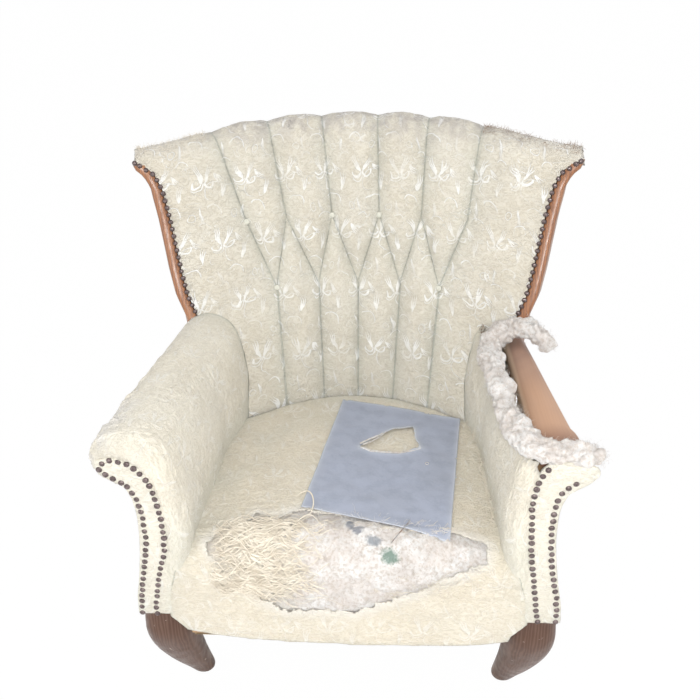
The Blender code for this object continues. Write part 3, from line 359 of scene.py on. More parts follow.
def back_rear(u, v):
    s = u * CELLS
    share = min(v / FACE_SHARE, 1.0)
    x, _, _ = back_cell(s, lerp(BACK_BOTTOM, BACK_TOP - BACK_TOP_DROP - ROLL_HEIGHT, share))
    z = lerp(BACK_BOTTOM, top_z(x) - ROLL_HEIGHT, share)
    x, _, _ = back_cell(s, z)
    if v <= FACE_SHARE:
        return back_point(x, z, pad_thick(x, z))
    angle = math.pi * (v - FACE_SHARE) / (1.0 - FACE_SHARE)
    x += math.copysign(SHOW_WIDTH * smooth(0.30, edge_x(show_top()), abs(x)), x)
    depth = lerp(pad_thick(x, z), outer_depth(x, z) - 0.001, (1.0 - math.cos(angle)) / 2.0)
    return back_point(x, z + (ROLL_HEIGHT - PAD_THIN + 0.004) * math.sin(angle), depth)


def cloth_relief(point, place, mark):
    """Slack of the cover and the raised weave, in metres."""
    held = smooth(0.0, 0.014, mark("torn"))       # the seams keep the cover from moving
    slack = held * (0.0024 * lumps(point, 0.055, 1.0) + 0.0012 * lumps(point, 0.020, 5.0))
    ripple = (0.2 + 0.8 * held) * 0.0008 * lumps((point.x, point.y * 0.7, point.z * 1.4), 0.0075, 9.0)
    panel = smooth(0.19, 0.24, abs(point.x))
    # Pleats slant across the upper part of each side panel.
    slant = math.exp(-((point.z - 0.885) / 0.022) ** 2) * smooth(0.24, 0.30, abs(point.x)) \
        * (1.0 - smooth(0.33, 0.37, abs(point.x)))
    pleat = 0.0018 * slant * math.sin((point.z - 0.30 * abs(point.x)) / 0.0021 + 3.0 * lumps(point, 0.03, 6.0))
    frayed = mark("worn") * 0.0035 * (lumps(point, 0.008, 14.0) + lumps(point, 0.0035, 15.0))
    return slack + ripple + pleat + frayed + held * panel * 0.0010 * lumps(point, 0.034, 16.0)


# Arms, as distances from the middle line

ARM_FRONT, ARM_MIDDLE, ARM_REAR = -0.384, -0.130, 0.040
ARM_FRONT_OUTER = ((0.272, 0.300), (0.262, 0.360), (0.256, 0.420), (0.257, 0.480), (0.264, 0.535),
                   (0.279, 0.584), (0.308, 0.612), (0.345, 0.620), (0.381, 0.609), (0.399, 0.579),
                   (0.392, 0.546), (0.368, 0.527), (0.346, 0.520))
ARM_FRONT_INNER = ((0.288, 0.300), (0.286, 0.360), (0.283, 0.420), (0.283, 0.480), (0.285, 0.530),
                   (0.290, 0.570), (0.305, 0.5995), (0.345, 0.604), (0.372, 0.597), (0.380, 0.578),
                   (0.376, 0.558), (0.360, 0.546), (0.343, 0.541))
ARM_REAR_OUTER = ((0.240, 0.300), (0.232, 0.360), (0.227, 0.420), (0.228, 0.480), (0.237, 0.530),
                  (0.254, 0.578), (0.283, 0.608), (0.314, 0.618), (0.337, 0.611), (0.349, 0.591),
                  (0.3485, 0.573), (0.3455, 0.563), (0.3420, 0.558))
ARM_REAR_INNER = ((0.262, 0.300), (0.256, 0.360), (0.252, 0.420), (0.252, 0.480), (0.260, 0.526),
                  (0.270, 0.565), (0.288, 0.5975), (0.314, 0.6035), (0.333, 0.598), (0.3405, 0.586),
                  (0.3405, 0.576), (0.3390, 0.570), (0.3380, 0.567))
ARM_POINTS = len(ARM_FRONT_OUTER) - 1


def arm_taper(y, i=0.0):
    inner = lerp(0.0, 0.25, smooth(ARM_FRONT, ARM_MIDDLE, y)) if y < ARM_MIDDLE else \
        lerp(0.25, 1.0, smooth(ARM_MIDDLE, ARM_REAR, y))
    even = min(max((y - ARM_FRONT) / (ARM_REAR - ARM_FRONT), 0.0), 1.0)
    return lerp(inner, even, smooth(5.0, 8.0, i))


def arm_end_y(x, z):
    corner, outward, _ = show_section(round(z, 4))
    if x <= corner.x:
        return back_y(x, z)
    return min(corner.y, back_y(corner.x, z)) + outward.y / outward.x * (x - corner.x)


FOLD_Y, FACE_Y, WRAP = -0.366, -0.3945, 0.20
# Where the arm's cover ends under the nails of the arm front, for each point of its section
LEFT_NAIL_LINE = ((0.306, 0.300), (0.308, 0.360), (0.300, 0.420), (0.300, 0.480), (0.308, 0.530),
                  (0.322, 0.556), (0.332, 0.566), (0.345, 0.572), (0.359, 0.575), (0.368, 0.570),
                  (0.362, 0.562), (0.352, 0.556), (0.345, 0.552))
RIGHT_NAIL_LINE = ((0.306, 0.300), (0.307, 0.360), (0.302, 0.420), (0.298, 0.480), (0.299, 0.530),
                   (0.306, 0.560), (0.316, 0.572), (0.345, 0.578), (0.359, 0.575), (0.368, 0.570),
                   (0.362, 0.562), (0.352, 0.556), (0.345, 0.552))


def arm_place(side, i, v, outer=True):
    """A point of the arm's cover (outer) or of its lining, and the cloth length from the front fold."""
    rear_x, rear_z = spline(ARM_REAR_OUTER if outer else ARM_REAR_INNER, i)
    run = max((v - WRAP) / (1.0 - WRAP), 0.0)
    y = lerp(FOLD_Y, arm_end_y(rear_x, rear_z) - (0.0010 if outer else 0.0030), run)
    share = 1.0 if v >= 0.999 else arm_taper(y, i)
    start = spline(ARM_FRONT_OUTER if outer else ARM_FRONT_INNER, i)
    x, z = lerp(start[0], rear_x, share), lerp(start[1], rear_z, share)
    if v >= WRAP:
        return Vector((side * x, y, z)), y - FOLD_Y
    w = 1.0 - v / WRAP
    end = spline(LEFT_NAIL_LINE if side < 0.0 else RIGHT_NAIL_LINE, i)
    away = math.hypot(end[0] - x, end[1] - z)
    if not outer:
        return Vector((side * lerp(x, end[0], 0.9 * w), lerp(FOLD_Y, -0.3835, w), lerp(z, end[1], 0.9 * w))), 0.0
    bend = min(0.018, 0.6 * away)
    if w < 0.65:
        angle = w / 0.65 * math.pi / 2.0
        across, y = bend * (1.0 - math.cos(angle)), lerp(FOLD_Y, FACE_Y, math.sin(angle))
    else:
        across, y = lerp(bend, away, (w - 0.65) / 0.35), FACE_Y
    return Vector((side * lerp(x, end[0], across / away), y, lerp(z, end[1], across / away))), -0.06 * w


def arm_length(i):
    """Cloth length round the arm's section up to point i, near enough for its weave."""
    return 0.045 * i


def left_arm_front(u, v):
    i = u * ARM_POINTS
    point, run = arm_place(-1.0, i, v)
    fray = smooth(6.6, 8.0, i) * (1.0 - smooth(0.075, 0.125, run)) * smooth(-0.040, -0.010, run)
    fray *= smooth(-0.30, 0.10, lumps(point, 0.020, 4.0) + 0.35 * lumps(point, 0.007, 6.0))
    # Painted shade on the outer roll, at the rear where the arm meets the back, in the crease line there, and low on
    # the inner wall by the seat.
    outer_roll_shade = smooth(7.5, 9.0, i) * smooth(0.20, 0.28, run) * 0.25
    rear_shade = 0.6 * math.exp(-(1.0 - v) / 0.04)
    low = 0.5 * (1.0 - smooth(2.0, 3.0, i))
    return point, (arm_length(i), run), {"worn": fray, "fleck": fray, "soil": min(rear_shade + low + outer_roll_shade, 1.0),
                                         "crease": math.exp(-((1.0 - v) / 0.008) ** 2)}


def arm_relief(point, place, mark):
    slack = 0.0024 * lumps((point.x, point.y * 0.8, point.z), 0.045, 2.0)
    over = smooth(0.345, 0.375, abs(point.x)) * smooth(-0.39, -0.37, point.y)
    # The cover is gathered in pleats where it is pulled over the arm's outer edge.
    pull = lumps((point.x * 0.4, point.y * 2.4, point.z * 0.4), 0.020, 7.0)
    ripple = lumps((point.x * 0.8, point.y * 2.2, point.z * 0.9), 0.0080, 11.0)
    torn = mark("fleck") * 0.0032 * (lumps(point, 0.007, 17.0) + 0.8 * lumps(point, 0.0030, 18.0))
    return slack + (0.0012 + 0.0048 * over) * pull + 0.0010 * ripple + torn


RIGHT_ARM_EDGE = 5.15


def right_arm_front(u, v):
    run = (v - WRAP) * 0.52
    edge = RIGHT_ARM_EDGE + 0.30 * noise.noise(Vector((run / 0.030, 3.0, 0.0))) \
        + 0.22 * noise.noise(Vector((run / 0.008, 7.0, 0.0)))
    i = u * edge
    point, run = arm_place(1.0, i, v)
    torn = smooth(edge - 0.35, edge, i)
    # Painted shade at the rear where the arm meets the back, in the crease line there, and low on the inner wall by
    # the seat; the cover is also darker at its torn edge.
    rear_shade = 0.6 * math.exp(-(1.0 - v) / 0.04)
    low = 0.5 * (1.0 - smooth(2.0, 3.0, i))
    return point, (arm_length(i), run), {"worn": 0.0, "soil": min(rear_shade + low + 0.5 * torn, 1.0),
                                         "fleck": torn, "crease": math.exp(-((1.0 - v) / 0.008) ** 2)}


def right_arm_relief(point, place, mark):
    return arm_relief(point, place, mark) + 0.0012 * lumps((point.x, point.y * 1.5, point.z * 0.5), 0.016, 3.0)


# Seat

SEAT_FRONT, SEAT_DOME, SEAT_EDGE_Z, ROLL_RADIUS, APRON_BOTTOM, DECK_Z = -0.402, 0.016, 0.402, 0.060, 0.205, 0.345
ROLL_Y = SEAT_FRONT + ROLL_RADIUS
APRON_SIDES = ((0.205, 0.270), (0.225, 0.276), (0.255, 0.300), (0.300, 0.298), (0.342, 0.284))
TOP_SHARE, ROLL_SHARE = 0.58, 0.80    # share of the cover's length at the roll and at the apron
TEAR = ((-0.234, 0.034), (-0.204, 0.008), (-0.176, 0.002), (-0.158, -0.018), (-0.118, -0.010),
        (-0.082, -0.024), (-0.020, -0.018), (0.050, -0.014), (0.120, 0.000), (0.186, 0.010),
        (0.232, 0.030), (0.228, 0.056), (0.188, 0.072), (0.134, 0.097), (0.072, 0.118),
        (0.014, 0.137), (-0.050, 0.136), (-0.104, 0.137), (-0.150, 0.116), (-0.196, 0.086),
        (-0.222, 0.058))


def arm_wall(y, z):
    share = arm_taper(y)
    wall = [(lerp(a[1], b[1], share), lerp(a[0], b[0], share))
            for a, b in zip(ARM_FRONT_OUTER[:5], ARM_REAR_OUTER[:5])]
    return along(wall, z)


@lru_cache(maxsize=None)
def seat_wall(y):
    return arm_wall(y, 0.40) - 0.0025


def seat_width(y, turn):
    return lerp(seat_wall(round(y, 4)), APRON_SIDES[-1][1], smooth(0.30, 1.0, turn))


def seat_rear_y(x, z, x_share):
    return back_y(x, z) - FLUTE_RISE * 0.45 * (1.0 - x_share * x_share) ** 0.3 - 0.010


def seat_outer(x_share, v):
    """Outer face of the seat cover, its normal and its length along the cloth."""
    bulge = 1.0 - x_share * x_share
    crown = SEAT_EDGE_Z + SEAT_DOME * bulge
    curl = 0.0062 * abs(x_share) ** 6
    if v <= TOP_SHARE:
        share = v / TOP_SHARE
        rear = seat_rear_y(x_share * seat_width(-0.01, 0.0), SEAT_LEVEL, x_share)
        y = lerp(rear, ROLL_Y, share)
        x = x_share * seat_width(y, 0.0)
        sag = 0.010 * math.exp(-((x - 0.05) ** 2 + (y + 0.16) ** 2) / 0.016)
        z = SEAT_EDGE_Z + SEAT_DOME * bulge * (0.55 + 0.45 * smooth(0.0, 0.5, share)) - sag
        return Vector((x, y, z)), Vector((0.0, 0.0, 1.0)), y
    if v <= ROLL_SHARE:
        turn = (v - TOP_SHARE) / (ROLL_SHARE - TOP_SHARE)
        angle = math.pi / 2.0 * turn
        x = x_share * seat_width(ROLL_Y - ROLL_RADIUS * math.sin(angle), turn)
        point = Vector((x, ROLL_Y - ROLL_RADIUS * math.sin(angle) + curl * turn,
                        crown - ROLL_RADIUS * (1.0 - math.cos(angle))))
        return point, Vector((0.0, -math.sin(angle), math.cos(angle))), ROLL_Y - ROLL_RADIUS * angle
    share = (v - ROLL_SHARE) / (1.0 - ROLL_SHARE)
    z = lerp(crown - ROLL_RADIUS, APRON_BOTTOM + 0.012 * x_share * (x_share - 0.4), share)
    x = x_share * along(APRON_SIDES, z)
    point = Vector((x, SEAT_FRONT + curl, z))
    return point, Vector((0.0, -1.0, 0.0)), ROLL_Y - ROLL_RADIUS * math.pi / 2.0 - (crown - ROLL_RADIUS - z)


def tear_place(point):
    """(x, distance down the front slope), the plane in which the tear's outline is given."""
    down = Vector((0.0, -1.0, -1.0)).normalized()
    return point.x, (point - Vector((0.0, ROLL_Y, SEAT_EDGE_Z + SEAT_DOME))).dot(down)


def tear_distance(a, b):
    return edge_distance(TEAR, a, b)


def seat_front(u, v):
    point, _, length = seat_outer(2.0 * u - 1.0, v)
    point.x *= 1.0 + 0.018 * smooth(0.9, 1.0, abs(2.0 * u - 1.0))
    a, b = tear_place(point)
    near = tear_distance(a, b) if v > TOP_SHARE - 0.2 else 1.0
    torn = 1.0 - smooth(0.0, 0.022, near)
    side = abs(2.0 * u - 1.0)
    # Painted shade along the sides by the arms, in the crease lines there, and at the rear by the back; the noise
    # blotches on the top are dirt, and the apron is darker at its bottom hem.
    soil = 0.55 * math.exp(-(1.0 - side) / 0.04) + 0.5 * math.exp(-v / 0.03)
    grime_and_shade = 0.35 * smooth(-0.1, 0.6, lumps(point, 0.09, 8.0)) * (1.0 - smooth(TOP_SHARE, ROLL_SHARE, v))
    hem = 0.3 * smooth(0.985, 1.0, v)
    return point, (point.x, length), {"worn": 0.85 * torn, "soil": min(soil + grime_and_shade + hem, 1.0), "fleck": 0.0,
                                      "torn": near, "crease": smooth(0.994, 1.0, side)}


def seat_relief(point, place, mark):
    slack = 0.0020 * lumps(point, 0.060, 12.0)
    ripple = 0.0007 * lumps((point.x * 0.7, point.y * 1.8, point.z * 1.2), 0.0085, 13.0)
    if point.y < SEAT_FRONT + 0.012 and point.z < 0.34:
        slack += 0.0012 * sum(math.exp(-((place[0] - x) / 0.008) ** 2) for x in (-0.168, -0.100, 0.008))
    # Folds run out from the tear's left end.
    pull = math.exp(-max(mark("torn"), 0.0) / 0.035) * (1.0 - smooth(-0.12, -0.02, point.x))
    fold = 0.0040 * pull * lumps((point.x * 0.35, point.y * 1.6, point.z * 1.6), 0.011, 24.0)
    return slack + ripple + fold


def make_seat_cover(columns, rows, mat):
    bm, layers = marked_bmesh()
    bmesh.ops.create_grid(bm, x_segments=columns, y_segments=rows, size=0.5)
    for vert in bm.verts:
        vert[layers["place"]] = (vert.co.x + 0.5, 0.5 - vert.co.y, 0.0)
    lay_cloth(layers, bm.verts, seat_front)
    bm.normal_update()
    if sum(face.normal.z for face in bm.faces) < 0.0:
        bmesh.ops.reverse_faces(bm, faces=bm.faces)
    relief(bm, layers, list(bm.verts), seat_relief)
    gone = []
    for vert in bm.verts:
        near = vert[layers["torn"]]
        if near > 0.02:
            continue
        a, b = tear_place(vert.co)
        ragged = 0.0045 * lumps((a, b, 0.0), 0.011, 21.0) + 0.0035 * lumps((a, b, 0.0), 0.0035, 22.0)
        if near + ragged < 0.0:
            gone.append(vert)
        elif near < 0.016:
            vert.co += vert.normal * 0.0025 * (1.0 - near / 0.016) * (0.2 + lumps(vert.co, 0.012, 30.0))
    bmesh.ops.delete(bm, geom=gone, context="VERTS")
    write_uv(bm, layers)
    obj = finish_piece("seat_cover_cloth", bm, mat, ("seat_cover",))
    solid = obj.modifiers.new("thickness", "SOLIDIFY")
    solid.thickness, solid.offset = 0.0026, -1.0
    return obj


def stuffing_front(u, v):
    share = 2.0 * u - 1.0
    point, normal, length = seat_outer(share, v)
    a, b = tear_place(point)
    point = point - normal * 0.0050
    near = tear_distance(a, b) if v > TOP_SHARE - 0.1 else 1.0
    # Cotton wells up over the cover's ragged edge.
    spill = 0.007 * smooth(0.02, 0.09, b) + 0.006 * lumps(point, 0.016, 45.0)
    open_share = 1.0 - smooth(-0.024, 0.003, near - spill)
    fluff = 0.0058 * lumps(point, 0.021, 40.0) + 0.0034 * lumps(point, 0.0085, 41.0) \
        + 0.0018 * lumps(point, 0.0036, 42.0)
    right = smooth(-0.13, -0.06, point.x)
    point = point + normal * open_share * (lerp(0.0040, 0.0095, right) + fluff)
    point.x = max(-0.252, min(0.252, point.x))
    return point, (point.x, length), {"worn": open_share, "soil": 1.0 - right}


def stuffing_rear(u, v):
    share = 2.0 * u - 1.0
    point, _, _ = seat_outer(share, v)
    floor = DECK_Z + 0.0033
    rail = -0.3778
    if v <= TOP_SHARE:
        point.y -= max(seat_rear_y(point.x, SEAT_LEVEL, share) - seat_rear_y(point.x, floor, share), 0.0) \
            * (1.0 - v / TOP_SHARE)
        point.z = floor
    else:
        turn = min((v - TOP_SHARE) / (ROLL_SHARE - TOP_SHARE), 1.0)
        point.y = lerp(ROLL_Y, rail, math.sin(turn * math.pi / 2.0))
        if v <= ROLL_SHARE:
            end = seat_outer(share, ROLL_SHARE)[0].z
            point.z = lerp(floor, min(end, floor - 0.004), 1.0 - math.cos(turn * math.pi / 2.0))
    point.x = max(-0.252, min(0.252, point.x))
    return point


# Node groups: masks, colours and heights only

def new_group(name, inputs, outputs):
    tree = bpy.data.node_groups.new(name, "ShaderNodeTree")
    for word, kind, value in inputs:
        socket = tree.interface.new_socket(word, in_out="INPUT", socket_type=kind)
        if value is not None:
            socket.default_value = value
    for word, kind in outputs:
        tree.interface.new_socket(word, in_out="OUTPUT", socket_type=kind)
    return tree, tree.nodes.new("NodeGroupInput").outputs, tree.nodes.new("NodeGroupOutput").inputs


class Wiring:
    """Short ways to add nodes to a tree. A value may be a socket or a number."""

    def __init__(self, tree):
        self.tree = tree

    def put(self, socket, value):
        if isinstance(value, bpy.types.NodeSocket):
            self.tree.links.new(value, socket)
        elif value is not None:
            socket.default_value = value

    def math(self, operation, a, b=None, c=None, clamp=False):
        node = self.tree.nodes.new("ShaderNodeMath")
        node.operation, node.use_clamp = operation, clamp
        for socket, value in zip(node.inputs, (a, b, c)):
            self.put(socket, value)
        return node.outputs[0]

    def vector(self, operation, a, b=None, scale=None):
        node = self.tree.nodes.new("ShaderNodeVectorMath")
        node.operation = operation
        self.put(node.inputs[0], a)
        self.put(node.inputs[1], b)
        if scale is not None:
            self.put(node.inputs["Scale"], scale)
        return node.outputs["Value" if operation in ("LENGTH", "DOT_PRODUCT", "DISTANCE") else "Vector"]

    def split(self, vector):
        node = self.tree.nodes.new("ShaderNodeSeparateXYZ")
        self.put(node.inputs[0], vector)
        return node.outputs

    def join(self, x, y, z=0.0):
        node = self.tree.nodes.new("ShaderNodeCombineXYZ")
        for socket, value in zip(node.inputs, (x, y, z)):
            self.put(socket, value)
        return node.outputs[0]

    def noise(self, vector, scale, detail=2.0, roughness=0.5, distortion=0.0, colour=False):
        node = self.tree.nodes.new("ShaderNodeTexNoise")
        for word, value in (("Vector", vector), ("Scale", scale), ("Detail", detail),
                            ("Roughness", roughness), ("Distortion", distortion)):
            self.put(node.inputs[word], value)
        return node.outputs["Color" if colour else "Fac"]

    def wave(self, vector, scale, distortion, detail, detail_scale):
        node = self.tree.nodes.new("ShaderNodeTexWave")
        for word, value in (("Vector", vector), ("Scale", scale), ("Distortion", distortion),
                            ("Detail", detail), ("Detail Scale", detail_scale)):
            self.put(node.inputs[word], value)
        return node.outputs["Fac"]

    def range(self, value, low, high, to_low=0.0, to_high=1.0, kind="SMOOTHSTEP"):
        node = self.tree.nodes.new("ShaderNodeMapRange")
        node.interpolation_type = kind
        for word, number in (("Value", value), ("From Min", low), ("From Max", high),
                             ("To Min", to_low), ("To Max", to_high)):
            self.put(node.inputs[word], number)
        return node.outputs[0]

    def mix(self, factor, a, b, blend="MIX"):
        node = self.tree.nodes.new("ShaderNodeMix")
        node.data_type, node.blend_type = "RGBA", blend
        self.put(node.inputs[0], factor)
        for socket, value in ((node.inputs[6], a), (node.inputs[7], b)):
            self.put(socket, (*value, 1.0) if isinstance(value, tuple) and len(value) == 3 else value)
        return node.outputs[2]

    def group(self, tree, **values):
        node = self.tree.nodes.new("ShaderNodeGroup")
        node.node_tree = tree
        for word, value in values.items():
            self.put(node.inputs[word.replace("_", " ")], value)
        return node.outputs

    def attribute(self, word):
        node = self.tree.nodes.new("ShaderNodeAttribute")
        node.attribute_name = word
        return node.outputs["Fac"]

    def place(self, uv=None):
        if uv:
            node = self.tree.nodes.new("ShaderNodeUVMap")
            node.uv_map = uv
            return node.outputs[0]
        return self.tree.nodes.new("ShaderNodeTexCoord").outputs["Object"]

    def bump(self, height, distance=0.001, strength=1.0, normal=None):
        node = self.tree.nodes.new("ShaderNodeBump")
        for word, value in (("Height", height), ("Distance", distance), ("Strength", strength), ("Normal", normal)):
            self.put(node.inputs[word], value)
        return node.outputs[0]


def fan_group():
    """A fan of slender pointed leaves that spread from a base, as a mask."""
    tree, ins, outs = new_group("leaf_fan", (
        ("Point", "NodeSocketVector", None), ("Base", "NodeSocketVector", None), ("Angle", "NodeSocketFloat", 0.0),
        ("Step", "NodeSocketFloat", 0.2), ("Half", "NodeSocketFloat", 1.5), ("Length", "NodeSocketFloat", 0.02),
        ("Width", "NodeSocketFloat", 0.003), ("Spread", "NodeSocketFloat", 0.0)), (("Mask", "NodeSocketFloat"),))
    w = Wiring(tree)
    turn = tree.nodes.new("ShaderNodeVectorRotate")
    turn.rotation_type, turn.invert = "Z_AXIS", True
    w.put(turn.inputs["Vector"], w.vector("SUBTRACT", ins["Point"], ins["Base"]))
    w.put(turn.inputs["Angle"], ins["Angle"])
    x, y, _ = w.split(turn.outputs[0])
    reach = w.vector("LENGTH", turn.outputs[0])
    t = w.math("DIVIDE", reach, ins["Length"], clamp=True)
    bearing = w.math("DIVIDE", w.math("ARCTAN2", y, x), w.math("MULTIPLY_ADD", ins["Spread"], t, 1.0))
    leaf = w.math("ROUND", w.math("DIVIDE", bearing, ins["Step"]))
    leaf = w.math("MAXIMUM", w.math("MINIMUM", leaf, ins["Half"]), w.math("MULTIPLY", ins["Half"], -1.0))
    aside = w.math("MULTIPLY", w.math("SUBTRACT", bearing, w.math("MULTIPLY", leaf, ins["Step"])), reach)
    blade = w.math("MULTIPLY", w.math("SQRT", t), w.math("SUBTRACT", 1.0, t))
    room = w.math("SUBTRACT", w.math("MULTIPLY", blade, ins["Width"]), w.math("ABSOLUTE", aside))
    w.put(outs["Mask"], w.range(room, -0.00025, 0.00035))
    return tree


def arc_group():
    """A curved stroke: the part of a ring that faces one way, as a mask."""
    tree, ins, outs = new_group("curved_stroke", (
        ("Point", "NodeSocketVector", None), ("Centre", "NodeSocketVector", None),
        ("Facing", "NodeSocketVector", (0.0, 1.0, 0.0)), ("Radius", "NodeSocketFloat", 0.01),
        ("Width", "NodeSocketFloat", 0.001), ("Open", "NodeSocketFloat", 0.0)), (("Mask", "NodeSocketFloat"),))
    w = Wiring(tree)
    away = w.vector("SUBTRACT", ins["Point"], ins["Centre"])
    reach = w.vector("LENGTH", away)
    facing = w.math("DIVIDE", w.vector("DOT_PRODUCT", away, ins["Facing"]), reach)
    taper = w.range(facing, ins["Open"], w.math("ADD", ins["Open"], 0.55))
    room = w.math("SUBTRACT", w.math("MULTIPLY", taper, ins["Width"]),
                  w.math("ABSOLUTE", w.math("SUBTRACT", reach, ins["Radius"])))
    w.put(outs["Mask"], w.range(room, -0.00025, 0.00035))
    return tree


# Woven figure in one repeat, in metres and degrees
REPEAT = (0.080, 0.118)
FANS = (                       # base, angle, step, half count, length, width, spread
    ((0.0235, 0.036), 112, 11.0, 1.0, 0.040, 0.0046, -0.42),
    ((0.0275, 0.036), 64, 11.0, 1.0, 0.038, 0.0046, -0.42),
    ((0.047, 0.054), -50, 15.0, 1.0, 0.024, 0.0038, -0.20),
    ((0.062, 0.106), -80, 14.0, 0.5, 0.036, 0.0036, -0.60),
    ((0.064, 0.004), 84, 13.0, 1.0, 0.034, 0.0042, -0.40),
)
ARCS = (                       # centre, facing, radius, width, opening (cosine)
    ((0.0150, 0.0370), (-0.2, -1.0), 0.0080, 0.0018, -0.30),
    ((0.0370, 0.0390), (0.2, -1.0), 0.0095, 0.0018, -0.30),
    ((0.0160, 0.0330), (0.5, -1.0), 0.0100, 0.0010, -0.20),
    ((0.0480, 0.0900), (0.0, 1.0), 0.0060, 0.0007, -1.60),
    ((0.0120, 0.0980), (0.1, 1.0), 0.0140, 0.0011, -0.30),
    ((0.0480, 0.0200), (-1.0, 0.5), 0.0200, 0.0008, -0.40),
    ((0.0700, 0.0660), (0.7, 1.0), 0.0110, 0.0009, -0.40),
)


def figure_group(fan, arc):
    """The repeating leaf and scroll figure of the weave, as a mask over the cloth's own place."""
    tree, ins, outs = new_group("woven_figure", (("Cloth", "NodeSocketVector", None),),
                                (("Mask", "NodeSocketFloat"),))
    w = Wiring(tree)
    wobble = w.vector("SUBTRACT", w.noise(ins["Cloth"], 30.0, 1.5, colour=True), (0.5, 0.5, 0.5))
    cloth = w.vector("ADD", ins["Cloth"], w.vector("SCALE", wobble, scale=0.020))
    x, y, _ = w.split(cloth)
    row = w.math("FLOOR", w.math("DIVIDE", y, REPEAT[1]))
    shifted = w.math("MULTIPLY_ADD", row, REPEAT[0] * 0.46, x)
    column = w.math("FLOOR", w.math("DIVIDE", shifted, REPEAT[0]))
    px = w.math("SUBTRACT", shifted, w.math("MULTIPLY", column, REPEAT[0]))
    py = w.math("SUBTRACT", y, w.math("MULTIPLY", row, REPEAT[1]))
    point = w.join(px, py)
    mask = None
    for base, angle, step, half, length, width, spread in FANS:
        one = w.group(fan, Point=point, Base=(*base, 0.0), Angle=math.radians(angle), Step=math.radians(step),
                      Half=half, Length=length, Width=width, Spread=spread)["Mask"]
        mask = one if mask is None else w.math("MAXIMUM", mask, one)
    for centre, facing, radius, width, opening in ARCS:
        away = Vector(facing).normalized()
        one = w.group(arc, Point=point, Centre=(*centre, 0.0), Facing=(away.x, away.y, 0.0), Radius=radius,
                      Width=width, Open=opening)["Mask"]
        mask = w.math("MAXIMUM", mask, one)
    w.put(outs["Mask"], mask)
    return tree


def ripple_group():
    """Puckered ground of the weave: winding lines that follow soft noise."""
    tree, ins, outs = new_group("woven_ripple", (
        ("Cloth", "NodeSocketVector", None), ("Size", "NodeSocketFloat", 62.0), ("Across", "NodeSocketFloat", 1.5)),
        (("Height", "NodeSocketFloat"), ("Threads", "NodeSocketFloat"), ("Vines", "NodeSocketFloat")))
    w = Wiring(tree)
    stretched = w.vector("MULTIPLY", ins["Cloth"], w.join(1.0, ins["Across"], 1.0))
    field = w.noise(stretched, ins["Size"], 2.5, 0.55, 0.35)
    lines = w.math("SINE", w.math("MULTIPLY", field, 17.0))
    folds = w.math("POWER", w.math("ABSOLUTE", lines), 0.7)
    small = w.noise(stretched, 420.0, 2.0)
    w.put(outs["Height"], w.math("ADD", w.math("MULTIPLY", folds, 0.8), w.math("MULTIPLY", small, 0.35)))
    x, y, _ = w.split(ins["Cloth"])
    wander = w.noise(stretched, 26.0, 1.5, 0.5, 0.6)
    near = w.math("ABSOLUTE", w.math("SUBTRACT", w.math("FRACT", w.math("MULTIPLY", wander, 7.0)), 0.5))
    w.put(outs["Vines"], w.range(near, 0.055, 0.015))
    warp = w.math("SINE", w.math("MULTIPLY", x, TAU / 0.0009))
    weft = w.math("SINE", w.math("MULTIPLY", y, TAU / 0.0007))
    w.put(outs["Threads"], w.math("MULTIPLY", warp, weft))
    return tree


def dirt_group():
    """Dirt that gathers in low places of a noise, as a mask."""
    tree, ins, outs = new_group("old_dirt", (("Point", "NodeSocketVector", None), ("Amount", "NodeSocketFloat", 0.5)),
                                (("Mask", "NodeSocketFloat"),))
    w = Wiring(tree)
    broad = w.noise(ins["Point"], 9.0, 3.0, 0.6)
    fine = w.noise(ins["Point"], 75.0, 3.0, 0.65)
    both = w.math("ADD", w.math("MULTIPLY", broad, 0.65), w.math("MULTIPLY", fine, 0.35))
    w.put(outs["Mask"], w.math("MULTIPLY", w.range(both, 0.42, 0.66), ins["Amount"]))
    return tree


def grain_group():
    """Wood grain along an axis: long streaks and pores."""
    tree, ins, outs = new_group("wood_grain", (("Point", "NodeSocketVector", None),
                                               ("Stretch", "NodeSocketVector", (1.0, 1.0, 0.08))),
                                (("Streaks", "NodeSocketFloat"), ("Pores", "NodeSocketFloat")))
    w = Wiring(tree)
    long = w.vector("MULTIPLY", ins["Point"], ins["Stretch"])
    rings = w.wave(long, 55.0, 9.0, 3.0, 1.1)
    streaks = w.math("MULTIPLY", w.noise(long, 60.0, 4.0, 0.6), 0.6)
    w.put(outs["Streaks"], w.math("ADD", w.math("MULTIPLY", rings, 0.5), streaks))
    w.put(outs["Pores"], w.range(w.noise(long, 520.0, 2.0, 0.7), 0.58, 0.72))
    return tree


class Kit:
    """Groups and materials shared by the pieces, built once by the materials operator."""
    groups = {}
    mats = {}


def material(name):
    mat = bpy.data.materials.new(name)
    mat.use_nodes = True
    Kit.mats[name] = mat
    return mat, Wiring(mat.node_tree), mat.node_tree.nodes["Principled BSDF"]


